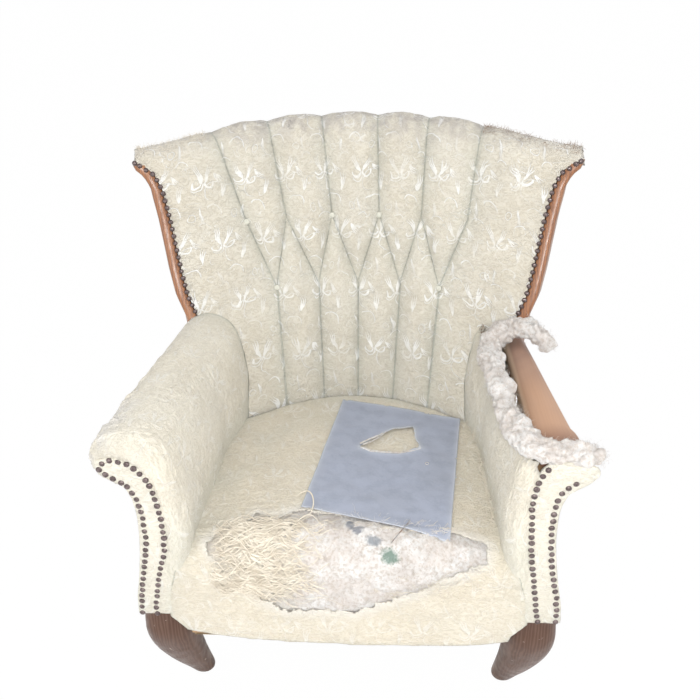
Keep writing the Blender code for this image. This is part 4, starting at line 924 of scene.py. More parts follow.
def brocade_material(name, settings, figure=1.0, across=1.5, ground=None):
    mat, w, shader = material(name)
    cloth = w.place("cloth")
    ripple = w.group(Kit.groups["ripple"], Cloth=cloth, Across=across)
    mask = w.group(Kit.groups["figure"], Cloth=cloth)["Mask"]
    patchy = w.range(w.noise(cloth, 16.0, 2.0), 0.30, 0.62, 0.35, 1.0)
    vines = w.math("MULTIPLY", ripple["Vines"], w.range(w.noise(cloth, 23.0, 1.0), 0.46, 0.58, 0.0, 0.75))
    mask = w.math("MULTIPLY", w.math("MULTIPLY", w.math("MAXIMUM", mask, vines), patchy), figure)
    soil, worn, crease, fleck = (w.attribute(word) for word in ("soil", "worn", "crease", "fleck"))
    dirt = w.group(Kit.groups["dirt"], Point=cloth, Amount=0.55)["Mask"]
    warm = tuple(part * share for part, share in zip(ground, (0.96, 0.92, 0.85))) if ground \
        else tuple(settings.ground_warm)
    base = w.mix(w.noise(cloth, 7.0, 2.0), ground or tuple(settings.ground), warm)
    # Painted shade in the hollows of the puckered ground and painted highlight on its crests.
    base = w.mix(w.range(ripple["Height"], 0.55, 0.20, 0.0, 0.38), base, (0.420, 0.370, 0.290))
    base = w.mix(w.range(ripple["Height"], 0.75, 1.05, 0.0, 0.22), base, tuple(settings.figure))
    base = w.mix(w.math("MULTIPLY", dirt, 0.35), base, (0.40, 0.335, 0.235))
    # Painted shade beside seams and where parts meet, and some dirt on the seat.
    base = w.mix(w.math("MULTIPLY", soil, 0.55), base, tuple(settings.shade))
    base = w.mix(w.math("MULTIPLY", mask, 0.95), base, tuple(settings.figure))
    # Dark patches: frayed threads on the arms, painted shade toward the top of the back.
    patches = w.math("MULTIPLY", fleck, w.range(w.noise(cloth, 38.0, 4.0, 0.6), 0.35, 0.65))
    base = w.mix(w.math("MULTIPLY", patches, 0.55), base, (0.330, 0.295, 0.285))
    base = w.mix(w.math("MULTIPLY", worn, 0.75), base, tuple(settings.wear))
    # Painted shade in the seam lines and where parts meet.
    base = w.mix(w.math("MULTIPLY", crease, 0.50), base, (0.255, 0.290, 0.250))
    w.put(shader.inputs["Base Color"], base)
    w.put(shader.inputs["Roughness"], w.range(mask, 0.0, 1.0, 0.86, 0.62))
    shader.inputs["Sheen Weight"].default_value = 0.25
    shader.inputs["Sheen Roughness"].default_value = 0.5
    shader.inputs["Specular IOR Level"].default_value = 0.25
    height = w.math("ADD", w.math("MULTIPLY", ripple["Height"], 0.8), w.math("MULTIPLY", mask, 0.9))
    height = w.math("ADD", height, w.math("MULTIPLY", ripple["Threads"], 0.10))
    w.put(shader.inputs["Normal"], w.bump(height, 0.0024, 0.9))
    return mat


# Marks on the bare cotton of the seat: place, one over its half size along each axis, colour. The first three are a
# painted shadow in front of the patch's lower edge; then come a green stain and a dark brown strip.
STAINS_AND_SHADOW = (
    ((0.006, -0.318, 0.417), (120.0, 60.0, 60.0), (0.250, 0.270, 0.320)),
    ((0.020, -0.332, 0.413), (70.0, 90.0, 60.0), (0.230, 0.250, 0.300)),
    ((0.044, -0.348, 0.408), (60.0, 110.0, 70.0), (0.300, 0.330, 0.370)),
    ((0.072, -0.366, 0.393), (58.0, 70.0, 60.0), (0.130, 0.240, 0.185)),
    ((-0.120, -0.322, 0.414), (22.0, 110.0, 70.0), (0.210, 0.180, 0.135)),
)


def speckled_material(name, scale, dark, light):
    """Rough cloth or thread in two tones."""
    _, w, shader = material(name)
    w.put(shader.inputs["Base Color"], w.mix(w.noise(w.place(), scale), dark, light))
    shader.inputs["Roughness"].default_value = 0.9


def batting_material():
    mat, w, shader = material("cotton_batting")
    point = w.place()
    tufts = w.noise(point, 160.0, 4.0, 0.7)
    broad = w.noise(point, 28.0, 3.0)
    base = w.mix(w.range(broad, 0.35, 0.65), (0.780, 0.725, 0.680), (0.880, 0.860, 0.835))
    # Painted shade in the hollows between tufts, the low places of the same noise that drives the bump.
    base = w.mix(w.range(tufts, 0.56, 0.36, 0.0, 0.60), base, (0.520, 0.430, 0.350))
    base = w.mix(w.math("MULTIPLY", w.attribute("soil"), 0.45), base, (0.700, 0.630, 0.490))
    for centre, size, tint in STAINS_AND_SHADOW:
        away = w.vector("LENGTH", w.vector("MULTIPLY", w.vector("SUBTRACT", point, centre), size))
        away = w.math("ADD", away, w.math("MULTIPLY", w.math("SUBTRACT", tufts, 0.5), 1.4))
        base = w.mix(w.range(away, 1.15, 0.55, 0.0, 0.85), base, tint)
    w.put(shader.inputs["Base Color"], base)
    shader.inputs["Roughness"].default_value = 1.0
    shader.inputs["Sheen Weight"].default_value = 0.3
    shader.inputs["Specular IOR Level"].default_value = 0.1
    fibre = w.wave(point, 190.0, 14.0, 4.0, 2.2)
    height = w.math("ADD", tufts, w.math("MULTIPLY", fibre, 0.5))
    w.put(shader.inputs["Normal"], w.bump(height, 0.0030, 0.8))
    return mat


def polished_material(settings):
    mat, w, shader = material("polished_wood_finish")
    point = w.place()
    grain = w.group(Kit.groups["grain"], Point=point)
    tint = w.mix(w.range(grain["Streaks"], 0.25, 0.85), tuple(settings.wood_dark), tuple(settings.wood))
    faded = w.range(w.noise(point, 11.0, 2.0), 0.45, 0.75)
    tint = w.mix(w.math("MULTIPLY", faded, 0.35), tint, (0.42, 0.22, 0.12))
    tint = w.mix(w.math("MULTIPLY", grain["Pores"], 0.45), tint, (0.06, 0.025, 0.012))
    w.put(shader.inputs["Base Color"], tint)
    w.put(shader.inputs["Roughness"], w.range(w.noise(point, 60.0, 3.0), 0.3, 0.7, 0.30, 0.46))
    shader.inputs["Specular IOR Level"].default_value = 0.35
    shader.inputs["Coat Weight"].default_value = 0.20
    shader.inputs["Coat Roughness"].default_value = 0.25
    w.put(shader.inputs["Normal"], w.bump(grain["Pores"], 0.0003, 0.35))
    return mat


def leg_material():
    mat, w, shader = material("worn_leg_finish")
    point = w.place()
    grain = w.group(Kit.groups["grain"], Point=point)
    tint = w.mix(w.noise(point, 14.0, 3.0), (0.050, 0.022, 0.013), (0.090, 0.044, 0.028))
    tint = w.mix(w.math("MULTIPLY", w.range(grain["Streaks"], 0.3, 0.9), 0.25), tint, (0.210, 0.130, 0.095))
    chips = w.range(w.noise(point, 55.0, 4.0, 0.7), 0.64, 0.70)
    tint = w.mix(w.math("MULTIPLY", chips, 0.6), tint, (0.450, 0.370, 0.320))
    w.put(shader.inputs["Base Color"], tint)
    w.put(shader.inputs["Roughness"], w.range(w.noise(point, 60.0, 3.0), 0.3, 0.7, 0.30, 0.46))
    shader.inputs["Specular IOR Level"].default_value = 0.25
    shader.inputs["Coat Weight"].default_value = 0.08
    shader.inputs["Coat Roughness"].default_value = 0.3
    w.put(shader.inputs["Normal"], w.bump(w.math("ADD", grain["Pores"], chips), 0.0003, 0.3))
    return mat


def board_material():
    mat, w, shader = material("bare_arm_wood")
    point = w.place()
    grain = w.group(Kit.groups["grain"], Point=point, Stretch=(1.0, 0.07, 1.0))
    x, y, _ = w.split(point)
    tint = w.mix(w.range(y, -0.22, -0.02), (0.430, 0.255, 0.160), (0.270, 0.165, 0.125))
    tint = w.mix(w.range(w.noise(point, 16.0, 3.0), 0.40, 0.70, 0.0, 0.5), tint, (0.400, 0.245, 0.165))
    tint = w.mix(w.range(grain["Streaks"], 0.35, 0.85, 0.0, 0.07), tint, (0.240, 0.130, 0.085))
    tint = w.mix(w.range(x, 0.302, 0.296, 0.0, 0.6), tint, (0.640, 0.480, 0.340))
    tint = w.mix(w.range(y, -0.27, -0.325, 0.0, 0.75), tint, (0.200, 0.100, 0.065))
    w.put(shader.inputs["Base Color"], tint)
    shader.inputs["Roughness"].default_value = 0.5
    w.put(shader.inputs["Normal"], w.bump(grain["Pores"], 0.0003, 0.3))
    return mat


def rough_wood_material():
    mat, w, shader = material("plain_frame_wood")
    point = w.place()
    grain = w.group(Kit.groups["grain"], Point=point, Stretch=(0.15, 0.6, 1.0))
    tint = w.mix(grain["Streaks"], (0.30, 0.18, 0.09), (0.48, 0.32, 0.18))
    w.put(shader.inputs["Base Color"], tint)
    shader.inputs["Roughness"].default_value = 0.75
    w.put(shader.inputs["Normal"], w.bump(grain["Streaks"], 0.0004, 0.4))
    return mat


def sacking_material():
    mat, w, shader = material("sacking")
    point = w.place()
    x, y, _ = w.split(point)
    threads = w.math("MULTIPLY", w.math("SINE", w.math("MULTIPLY", x, TAU / 0.0022)),
                     w.math("SINE", w.math("MULTIPLY", y, TAU / 0.0022)))
    dirt = w.group(Kit.groups["dirt"], Point=point, Amount=0.7)["Mask"]
    tint = w.mix(w.range(threads, -1.0, 1.0), (0.28, 0.19, 0.10), (0.46, 0.35, 0.20))
    w.put(shader.inputs["Base Color"], w.mix(dirt, tint, (0.17, 0.12, 0.075)))
    shader.inputs["Roughness"].default_value = 0.95
    w.put(shader.inputs["Normal"], w.bump(threads, 0.0005, 0.7))
    return mat


def nail_material():
    mat, w, shader = material("old_bronze")
    point = w.place()
    spots = w.range(w.noise(point, 260.0, 3.0), 0.40, 0.65)
    w.put(shader.inputs["Base Color"], w.mix(spots, (0.085, 0.063, 0.062), (0.200, 0.160, 0.155)))
    w.put(shader.inputs["Metallic"], w.range(spots, 0.0, 1.0, 0.55, 0.85))
    w.put(shader.inputs["Roughness"], w.range(spots, 0.0, 1.0, 0.55, 0.36))
    return mat


def steel_material():
    mat, w, shader = material("dull_steel")
    rust = w.range(w.noise(w.place(), 120.0, 3.0), 0.50, 0.66)
    w.put(shader.inputs["Base Color"], w.mix(rust, (0.42, 0.41, 0.40), (0.20, 0.10, 0.06)))
    w.put(shader.inputs["Metallic"], w.range(rust, 0.0, 1.0, 0.95, 0.3))
    w.put(shader.inputs["Roughness"], w.range(rust, 0.0, 1.0, 0.35, 0.8))
    return mat


def patch_material(settings):
    mat, w, shader = material("blue_patch")
    point = w.place()
    blots = w.range(w.noise(point, 34.0, 4.0, 0.65), 0.42, 0.66)
    fine = w.noise(point, 300.0, 3.0, 0.6)
    base = w.mix(w.range(w.noise(point, 7.0, 2.0), 0.3, 0.7), tuple(settings.patch), (0.310, 0.340, 0.425))
    base = w.mix(w.math("MULTIPLY", blots, 0.35), base, (0.215, 0.245, 0.30))
    worn = w.attribute("worn")
    base = w.mix(w.math("MULTIPLY", worn, 0.85), base, (0.62, 0.64, 0.66))
    w.put(shader.inputs["Base Color"], base)
    w.put(shader.inputs["Roughness"], w.range(fine, 0.3, 0.7, 0.52, 0.72))
    height = w.math("ADD", w.math("MULTIPLY", fine, 0.5), blots)
    w.put(shader.inputs["Normal"], w.bump(height, 0.0005, 0.5))
    return mat


# Strands, nail heads and copies of CAD nodes

def finish_strands(name, strands, mat):
    """Closed round strands, each (points, radius at the start, radius at the end), as one mesh."""
    data = bpy.data.curves.new(name, "CURVE")
    data.dimensions, data.use_fill_caps = "3D", True
    data.bevel_depth, data.bevel_resolution = 1.0, 0
    for points, first, last in strands:
        line = data.splines.new("POLY")
        line.points.add(len(points) - 1)
        for k, (knot, point) in enumerate(zip(line.points, points)):
            knot.co = (*point, 1.0)
            knot.radius = lerp(first, last, k / (len(points) - 1))
    swept = bpy.data.objects.new(name, data)
    bpy.context.scene.collection.objects.link(swept)
    mesh = bpy.data.meshes.new_from_object(swept.evaluated_get(bpy.context.evaluated_depsgraph_get()))
    bpy.data.objects.remove(swept)
    bpy.data.curves.remove(data)
    bm = bmesh.new()
    bm.from_mesh(mesh)
    bpy.data.meshes.remove(mesh)
    face_outwards(bm)
    return finish_piece(name, bm, mat)


def skin_rings(bm, rings):
    """Joins rings of vertices to a closed tube."""
    count = len(rings[0])
    for low, high in zip(rings, rings[1:]):
        for a in range(count):
            b = (a + 1) % count
            bm.faces.new((low[a], low[b], high[b], high[a]))
    bm.faces.new(rings[0])
    bm.faces.new(rings[-1])
    face_outwards(bm)


def dome(bm, place, normal, radius, rise):
    """A domed nail head on a surface."""
    made = bmesh.ops.create_uvsphere(bm, u_segments=10, v_segments=6, radius=1.0)["verts"]
    low = [vert for vert in made if vert.co.z < -0.2]
    bmesh.ops.delete(bm, geom=low, context="VERTS")
    made = [vert for vert in made if vert.is_valid]
    turn = normal.to_track_quat("Z", "Y").to_matrix().to_4x4()
    shape = Matrix.Diagonal((radius, radius, rise, 1.0))
    bmesh.ops.transform(bm, matrix=Matrix.Translation(place) @ turn @ shape, verts=made)
    rim = [edge for vert in made for edge in vert.link_edges if edge.is_boundary]
    bmesh.ops.contextual_create(bm, geom=list(set(rim)))


def even_points(path, pitch):
    """Points at an even pitch along a path."""
    lengths = [0.0]
    for a, b in zip(path, path[1:]):
        lengths.append(lengths[-1] + (b - a).length)
    count = max(int(round(lengths[-1] / pitch)), 1)
    table = list(zip(lengths, path))
    out = []
    for k in range(count + 1):
        out.append(along(table, lengths[-1] * k / count))
    return out


def smooth_copy(node, name, mat, levels, sharp, bevel):
    """A CAD node's shape with rounded edges and a smooth surface."""
    bm = bmesh.new()
    bm.from_mesh(NODES[node].data)
    bm.transform(NODES[node].matrix_world)
    bm.transform(Matrix.Translation(-SHIFT))
    bmesh.ops.remove_doubles(bm, verts=bm.verts, dist=0.00005)
    bmesh.ops.dissolve_limit(bm, angle_limit=math.radians(0.5), verts=bm.verts, edges=bm.edges)
    face_outwards(bm)
    edges = [edge for edge in bm.edges if edge.calc_face_angle(0.0) > math.radians(sharp)]
    bmesh.ops.bevel(bm, geom=edges, offset=bevel, offset_type="OFFSET", segments=2, profile=0.5,
                    affect="EDGES", material=-1, clamp_overlap=True)
    obj = finish_piece(name, bm, mat, (node,), sharp=None if levels else 40.0)
    if levels:
        subdivision = obj.modifiers.new("rounding", "SUBSURF")
        subdivision.levels = subdivision.render_levels = levels
    return obj


RAIL_STEPS, RAIL_SIDES = 68, 28


def make_rail(side, word, mat):
    """A show rail with a softly rounded face and a small volute at its upper outer corner."""
    top = show_top() + 0.016
    bm = bmesh.new()
    rings = []
    for k in range(RAIL_STEPS + 1):
        z = lerp(LEG_TOP + 0.0004, top, k / RAIL_STEPS)
        corner, outward, rear = show_section(z)
        swell = 0.0052 * math.exp(-((z - (top - 0.010)) / 0.010) ** 2)
        neck = 0.0012 * math.exp(-((z - (top - 0.040)) / 0.014) ** 2)
        wide = SHOW_WIDTH + 0.0030 + swell - neck
        ring = []
        for a in range(RAIL_SIDES):
            turn = TAU * (a + 0.5) / RAIL_SIDES
            c, s = math.cos(turn), math.sin(turn)
            across = math.copysign(abs(c) ** 0.45, c) * 0.5 + 0.5
            deep = math.copysign(abs(s) ** 0.35, s) * 0.5 + 0.5
            crown = 0.0020 * (1.0 - (2.0 * across - 1.0) ** 2) if s < 0.0 else 0.0
            point = corner + outward * (-0.0022 + across * (wide + 0.0022)) \
                + rear * (deep * SHOW_DEPTH - crown - 0.4 * swell)
            ring.append(bm.verts.new((side * point.x, point.y, z)))
        rings.append(ring)
    skin_rings(bm, rings)
    return finish_piece(word + "_show_wood", bm, mat, (word + "_show_rail",), sharp=50.0)


# Trim: nail rows as (distance from the middle line, height) on the arm fronts

LEFT_ROWS = (
    ((0.372, 0.576), (0.359, 0.581), (0.345, 0.579), (0.330, 0.572), (0.320, 0.563), (0.312, 0.552), (0.305, 0.540),
     (0.301, 0.523), (0.297, 0.500), (0.294, 0.470), (0.294, 0.431), (0.298, 0.397), (0.309, 0.361), (0.319, 0.320),
     (0.326, 0.285), (0.327, 0.262)),
    ((0.378, 0.565), (0.368, 0.553), (0.357, 0.545), (0.345, 0.539), (0.335, 0.528), (0.329, 0.510),
     (0.324, 0.479), (0.323, 0.451), (0.325, 0.421), (0.330, 0.388), (0.339, 0.348), (0.349, 0.302),
     (0.353, 0.264)),
)
RIGHT_ROWS = (
    ((0.308, 0.576), (0.303, 0.571), (0.297, 0.552), (0.292, 0.530), (0.291, 0.505), (0.293, 0.471),
     (0.297, 0.420), (0.303, 0.378), (0.311, 0.324), (0.319, 0.280), (0.321, 0.264)),
    ((0.352, 0.551), (0.335, 0.538), (0.328, 0.520), (0.326, 0.495),
     (0.325, 0.465), (0.328, 0.421), (0.336, 0.372), (0.346, 0.325), (0.351, 0.290), (0.352, 0.266)),
)
NAIL_RADIUS, NAIL_RISE, NAIL_PITCH = 0.0052, 0.0034, 0.0132
LAST_NAIL = (0.0180, 0.9125)          # on a show rail's top: distance from its inner edge, height
FACING_Y = FACE_Y - 0.0012


def make_nails(mat):
    """Domed nails along both show rails and in two rows down each arm front."""
    rng = random.Random(4)
    made = []
    for side, word, rows in ((-1.0, "left", LEFT_ROWS), (1.0, "right", RIGHT_ROWS)):
        bm = bmesh.new()
        for row in rows:
            path = [Vector((side * x, FACING_Y, z)) for x, z in row]
            for place in even_points(path, NAIL_PITCH):
                jog = Vector((rng.uniform(-1, 1), 0.0, rng.uniform(-1, 1))) * 0.0008
                tip = Vector((rng.uniform(-0.15, 0.15), -1.0, rng.uniform(-0.15, 0.15))).normalized()
                dome(bm, place + jog + Vector((0.0, -0.0012, 0.0)), tip, NAIL_RADIUS * rng.uniform(0.93, 1.06),
                     NAIL_RISE)
        face_outwards(bm)
        made.append(finish_piece(word + "_arm_nails", bm, mat))
        bm = bmesh.new()
        path = []
        for k in range(61):
            z = lerp(0.614, 0.906, k / 60)
            corner, outward, _ = show_section(z)
            across = -0.0030 + 0.011 * smooth(0.885, 0.906, z)
            path.append(Vector((side * (corner.x + outward.x * across), corner.y + outward.y * across - 0.0032, z)))
        for place in even_points(path, NAIL_PITCH * 1.10):
            tip = Vector((-side * 0.22 + rng.uniform(-0.1, 0.1), -1.0, rng.uniform(-0.1, 0.1))).normalized()
            dome(bm, place, tip, NAIL_RADIUS * rng.uniform(0.93, 1.06), NAIL_RISE)
        corner, outward, _ = show_section(0.903)
        place = Vector((side * (corner.x + outward.x * LAST_NAIL[0]), corner.y + outward.y * LAST_NAIL[0] - 0.0040,
                        LAST_NAIL[1]))
        dome(bm, place, Vector((0.0, -1.0, 0.15)).normalized(), NAIL_RADIUS, NAIL_RISE)
        face_outwards(bm)
        made.append(finish_piece(word + "_rail_nails", bm, mat))
    return made


FACING_FOOT = ((0.2985, 0.262), (0.2970, 0.300), (0.2920, 0.335))
FACING_LEFT = ((0.300, 0.372), (0.2925, 0.397), (0.290, 0.431), (0.290, 0.470), (0.293, 0.500), (0.297, 0.523),
               (0.302, 0.541), (0.310, 0.556), (0.320, 0.568), (0.333, 0.577), (0.348, 0.583), (0.363, 0.585),
               (0.376, 0.580))
FACING_RIGHT = ((0.298, 0.378), (0.2925, 0.420), (0.2885, 0.471), (0.287, 0.505), (0.288, 0.530), (0.293, 0.552),
                (0.299, 0.574), (0.312, 0.586), (0.330, 0.590), (0.348, 0.590), (0.364, 0.588), (0.376, 0.582))
FACING_OUTER = ((0.361, 0.262), (0.3575, 0.300), (0.350, 0.335), (0.343, 0.378), (0.337, 0.420), (0.334, 0.470),
                (0.336, 0.500), (0.340, 0.515), (0.347, 0.530), (0.358, 0.538), (0.370, 0.546), (0.381, 0.556),
                (0.387, 0.566), (0.386, 0.574), (0.382, 0.580), (0.376, 0.582))


def make_facing(side, word, mat):
    left = FACING_FOOT + (FACING_LEFT if side < 0.0 else FACING_RIGHT)
    right = FACING_OUTER

    def place(u, v, lift):
        a = spline(left, v * (len(left) - 1))
        b = spline(right, v * (len(right) - 1))
        x, z = lerp(a[0], b[0], u), lerp(a[1], b[1], u)
        edge = 4.0 * u * (1.0 - u)
        round_over = min(1.0, edge * 5.0) ** 0.5 * min(1.0, (1.0 - v) * 14.0) ** 0.5
        return x, z, lift * round_over, edge

    def front(u, v):
        x, z, lift, edge = place(u, v, 0.0050)
        # Painted shade along the facing's side edges; the facing is also darker towards its bottom.
        return Vector((side * x, FACE_Y + 0.0022 - lift, z)), (x, z), \
            {"soil": 0.35 * (1.0 - edge) + 0.25 * (1.0 - smooth(0.26, 0.36, z)), "worn": 0.0}

    def rear(u, v):
        x, z, _, _ = place(u, v, 0.0)
        return Vector((side * x, ARM_FRONT - 0.0003, z))
    return padded_shell(word + "_arm_front_cloth", 8, 18, 4, front, rear, mat,
                        lambda p, c, mark: 0.0005 * lumps(p, 0.012, 3.0) + 0.0004 * lumps(p, 0.005, 6.0),
                        (word + "_arm_facing",))


SIDE_RAIL_OUTER = 0.331
SIDE_TURN = 10.0 / 12.0
SIDE_FRONT = ((0.187, 0.027), (0.265, 0.027), (0.310, 0.017), (0.365, 0.006), (0.420, 0.001),
              (0.470, 0.001), (0.535, 0.003))


def outside_arm_place(side, u, v, inset):
    front_y = ARM_FRONT + 0.0003
    run = min(u / SIDE_TURN, 1.0)
    y_guess = lerp(front_y, SHOW_FOOT_Y, run)
    low = lerp(LEG_TOP + 0.004, 0.187, smooth(-0.298, -0.270, y_guess))
    z = lerp(low, lerp(0.535, 0.553, run), v)
    corner, outward, rear = show_section(z)
    turn = corner + outward * (SHOW_WIDTH + 0.0022)
    turn.x = max(turn.x, SIDE_RAIL_OUTER + 0.0008)
    if u <= SIDE_TURN:
        y = lerp(front_y, turn.y, run)
        x = lerp(SIDE_RAIL_OUTER + along(SIDE_FRONT, z), turn.x, smooth(front_y, -0.18, y))
        return Vector((side * (x + inset), y, z))
    point = turn + rear * (SHOW_DEPTH - 0.0015) * (u - SIDE_TURN) / (1.0 - SIDE_TURN) + outward * inset
    point.x = max(point.x, turn.x + inset)
    return Vector((side * point.x, point.y, z))


def make_outside_arm(side, word, mat):
    def front(u, v):
        point = outside_arm_place(side, u, v, 0.0045)
        return point, (point.y, point.z), {"soil": 0.5 * (1.0 - smooth(0.0, 0.18, v)) + 0.2}
    return padded_shell(word + "_outside_arm_cloth", 24, 12, 5, front,
                        lambda u, v: outside_arm_place(side, u, v, 0.0),
                        mat, lambda p, c, mark: 0.0012 * lumps(p, 0.05, 2.0) + 0.0004 * lumps(p, 0.008, 4.0),
                        (word + "_outside_arm",))


def outside_back_place(u, v, extra):
    share = 2.0 * u - 1.0
    z = lerp(0.187, top_z(share * 0.43) - ROLL_HEIGHT - 0.0015, v)
    corner, outward, rear = show_section(z)
    side = corner + outward * SHOW_WIDTH + rear * SHOW_DEPTH
    x = share * side.x
    return Vector((x, outer_y(x, z) + extra, z))


def make_outside_back(mat):
    def front(u, v):
        point = outside_back_place(u, v, PANEL_THICK)
        return point, (point.x, point.z), {"soil": 0.4 * (1.0 - smooth(0.0, 0.2, v)) + 0.15}
    return padded_shell("outside_back_cloth", 40, 20, 5, front, lambda u, v: outside_back_place(u, v, 0.0),
                        mat, lambda p, c, mark: 0.0014 * lumps(p, 0.07, 2.0) + 0.0004 * lumps(p, 0.009, 4.0),
                        ("outside_back",))


# Torn arm

BATTING = ((0.364, -0.066, 0.606, 0.011), (0.360, -0.046, 0.618, 0.015), (0.338, -0.022, 0.628, 0.018),
           (0.306, -0.006, 0.625, 0.020), (0.274, -0.018, 0.611, 0.021), (0.257, -0.052, 0.600, 0.018),
           (0.255, -0.100, 0.602, 0.020), (0.257, -0.150, 0.604, 0.016), (0.259, -0.200, 0.606, 0.020),
           (0.262, -0.250, 0.602, 0.016), (0.266, -0.300, 0.603, 0.020), (0.274, -0.344, 0.603, 0.021),
           (0.291, -0.377, 0.602, 0.018), (0.316, -0.3890, 0.6020, 0.0165), (0.345, -0.3895, 0.6030, 0.0160),
           (0.370, -0.3885, 0.600, 0.015), (0.389, -0.386, 0.590, 0.0110))


def make_batting(mat):
    bm = bmesh.new()
    steps, sides = 260, 44
    path = [spline(BATTING, (len(BATTING) - 1) * k / steps) for k in range(steps + 1)]
    rings = []
    for k, (x, y, z, radius) in enumerate(path):
        centre = Vector((x, y, z))
        ahead = Vector(path[min(k + 1, steps)][:3]) - Vector(path[max(k - 1, 0)][:3])
        across = ahead.cross(Vector((0.0, 0.0, 1.0))).normalized()
        up = across.cross(ahead).normalized()
        cap = math.sqrt(min(1.0, 0.12 + min(k, steps - k) / 7.0))
        ring = []
        for a in range(sides):
            angle = TAU * a / sides
            away = across * math.cos(angle) + up * math.sin(angle)
            spot = centre + away * radius
            lump = 0.0012 + 0.0070 * lumps(spot, 0.022, 1.0) + 0.0046 * lumps(spot, 0.010, 2.0) \
                + 0.0018 * lumps(spot, 0.0042, 3.0)
            # The cotton sinks in folds between its lumps.
            fold = 0.0052 * (1.0 - min(abs(lumps(spot, 0.026, 5.0)) / 0.12, 1.0)) ** 2
            ring.append(bm.verts.new(centre + away * cap * (radius + lump - fold)))
        rings.append(ring)
    skin_rings(bm, rings)
    return finish_piece("right_arm_cotton", bm, mat, ("right_arm_batting",))


def strand_path(start, heading, length, curl, rng, drop=0.0, steps=7):
    """A wandering thread from start."""
    points, point, way = [start], start.copy(), heading.normalized()
    for _ in range(steps):
        way = (way + Vector((rng.gauss(0, curl), rng.gauss(0, curl), rng.gauss(0, curl) - drop))).normalized()
        point = point + way * length / steps
        points.append(point.copy())
    return points


STRAY_FIBRES = 1500


def make_fluff(mat):
    """Loose cotton fibres standing off the torn arm's batting."""
    rng = random.Random(11)
    strands = []
    for _ in range(STRAY_FIBRES):
        place = rng.uniform(0.0, len(BATTING) - 1.1)
        x, y, z, radius = spline(BATTING, place)
        ahead = (Vector(spline(BATTING, place + 0.05)[:3]) - Vector((x, y, z))).normalized()
        across = ahead.cross(Vector((0.0, 0.0, 1.0))).normalized()
        up = across.cross(ahead).normalized()
        angle = rng.uniform(-0.3, math.pi + 0.3)
        away = across * math.cos(angle) + up * math.sin(angle)
        start = Vector((x, y, z)) + away * radius * 0.97
        heading = away + ahead * rng.uniform(-1.6, 1.6)
        strands.append((strand_path(start, heading, rng.uniform(0.005, 0.015), 0.60, rng, 0.02, 5), 0.00022, 0.00008))
    return finish_strands("arm_cotton_fibres", strands, mat)


# Torn seat front

def front_point(x, s, lift=0.0):
    """The seat's outer face at x and at cloth length s past the start of the front roll."""
    half = 0.27
    share = max(-0.98, min(0.98, x / half))
    crown = SEAT_EDGE_Z + SEAT_DOME * (1.0 - share * share)
    arc = ROLL_RADIUS * math.pi / 2.0
    curl = 0.0062 * abs(share) ** 6
    if s < 0.0:
        return Vector((x, ROLL_Y - s, crown + lift)), Vector((0.0, 0.0, 1.0))
    if s < arc:
        angle = s / ROLL_RADIUS
        out = Vector((0.0, -math.sin(angle), math.cos(angle)))
        return Vector((x, ROLL_Y - ROLL_RADIUS * math.sin(angle) + curl * s / arc,
                       crown - ROLL_RADIUS * (1.0 - math.cos(angle)))) + out * lift, out
    return Vector((x, SEAT_FRONT + curl - lift, crown - ROLL_RADIUS - (s - arc))), Vector((0.0, -1.0, 0.0))


YARNS, LEFT_YARNS = 760, 560          # loose yarns over the tear, the first of them at its left end
COTTON_FIBRES = 3600


def make_shreds(mat, cotton):
    """Loose weft yarns over the tear, longest at its left end, and cotton fibres."""
    rng = random.Random(7)
    strands = []
    for k in range(YARNS):
        left = k < LEFT_YARNS
        x = rng.triangular(-0.232, -0.075, -0.215) if left else rng.uniform(-0.10, 0.215)
        if left:
            s = rng.uniform(-0.004, 0.118)
        else:
            s = rng.choice((rng.uniform(0.000, 0.012), rng.uniform(0.085, 0.128), rng.uniform(0.085, 0.128)))
        length = rng.uniform(0.025, 0.100) if left else rng.uniform(0.008, 0.034)
        slope = rng.gauss(0.06, 0.24) if left else rng.gauss(0.0, 0.5)
        sway, wild = rng.uniform(0.0, TAU), rng.uniform(0.04, 0.20)
        high = rng.uniform(0.0025, 0.0120) if left else rng.uniform(0.0, 0.0015)
        points = []
        for j in range(11):
            t = j / 10
            lift = 0.0020 + high * math.sin(math.pi * t) ** 0.7
            point, _ = front_point(x + length * t, s + length * (slope * t + wild * math.sin(sway + 7.0 * t)), lift)
            points.append(point)
        thick = rng.uniform(0.00035, 0.00110) if left else rng.uniform(0.00025, 0.00045)
        strands.append((points, thick, thick))
    threads = finish_strands("torn_seat_threads", strands, mat)

    strands = []
    for _ in range(COTTON_FIBRES):
        x = rng.uniform(-0.20, 0.235)
        s = rng.uniform(-0.03, 0.150)
        if tear_distance(x, s) > rng.uniform(-0.008, 0.020):
            continue
        start, out = front_point(x, s * 1.05, 0.001)
        heading = Vector((rng.uniform(-1, 1), 0.0, rng.uniform(-0.9, 0.5))) + out * rng.uniform(0.0, 0.5)
        strands.append((strand_path(start, heading, rng.uniform(0.006, 0.022), 0.5, rng, 0.02, 5), 0.00030, 0.0001))
    return threads, finish_strands("torn_seat_fibres", strands, cotton)


PATCH_CORNERS = ((-0.084, -0.299), (0.173, -0.372), (0.220, 0.012), (-0.031, 0.072))
PATCH_HOLE = [(0.016, -0.107), (0.040, -0.078), (0.060, -0.060), (0.080, -0.044), (0.118, -0.036), (0.122, -0.078),
              (0.130, -0.104), (0.088, -0.121), (0.051, -0.119)]
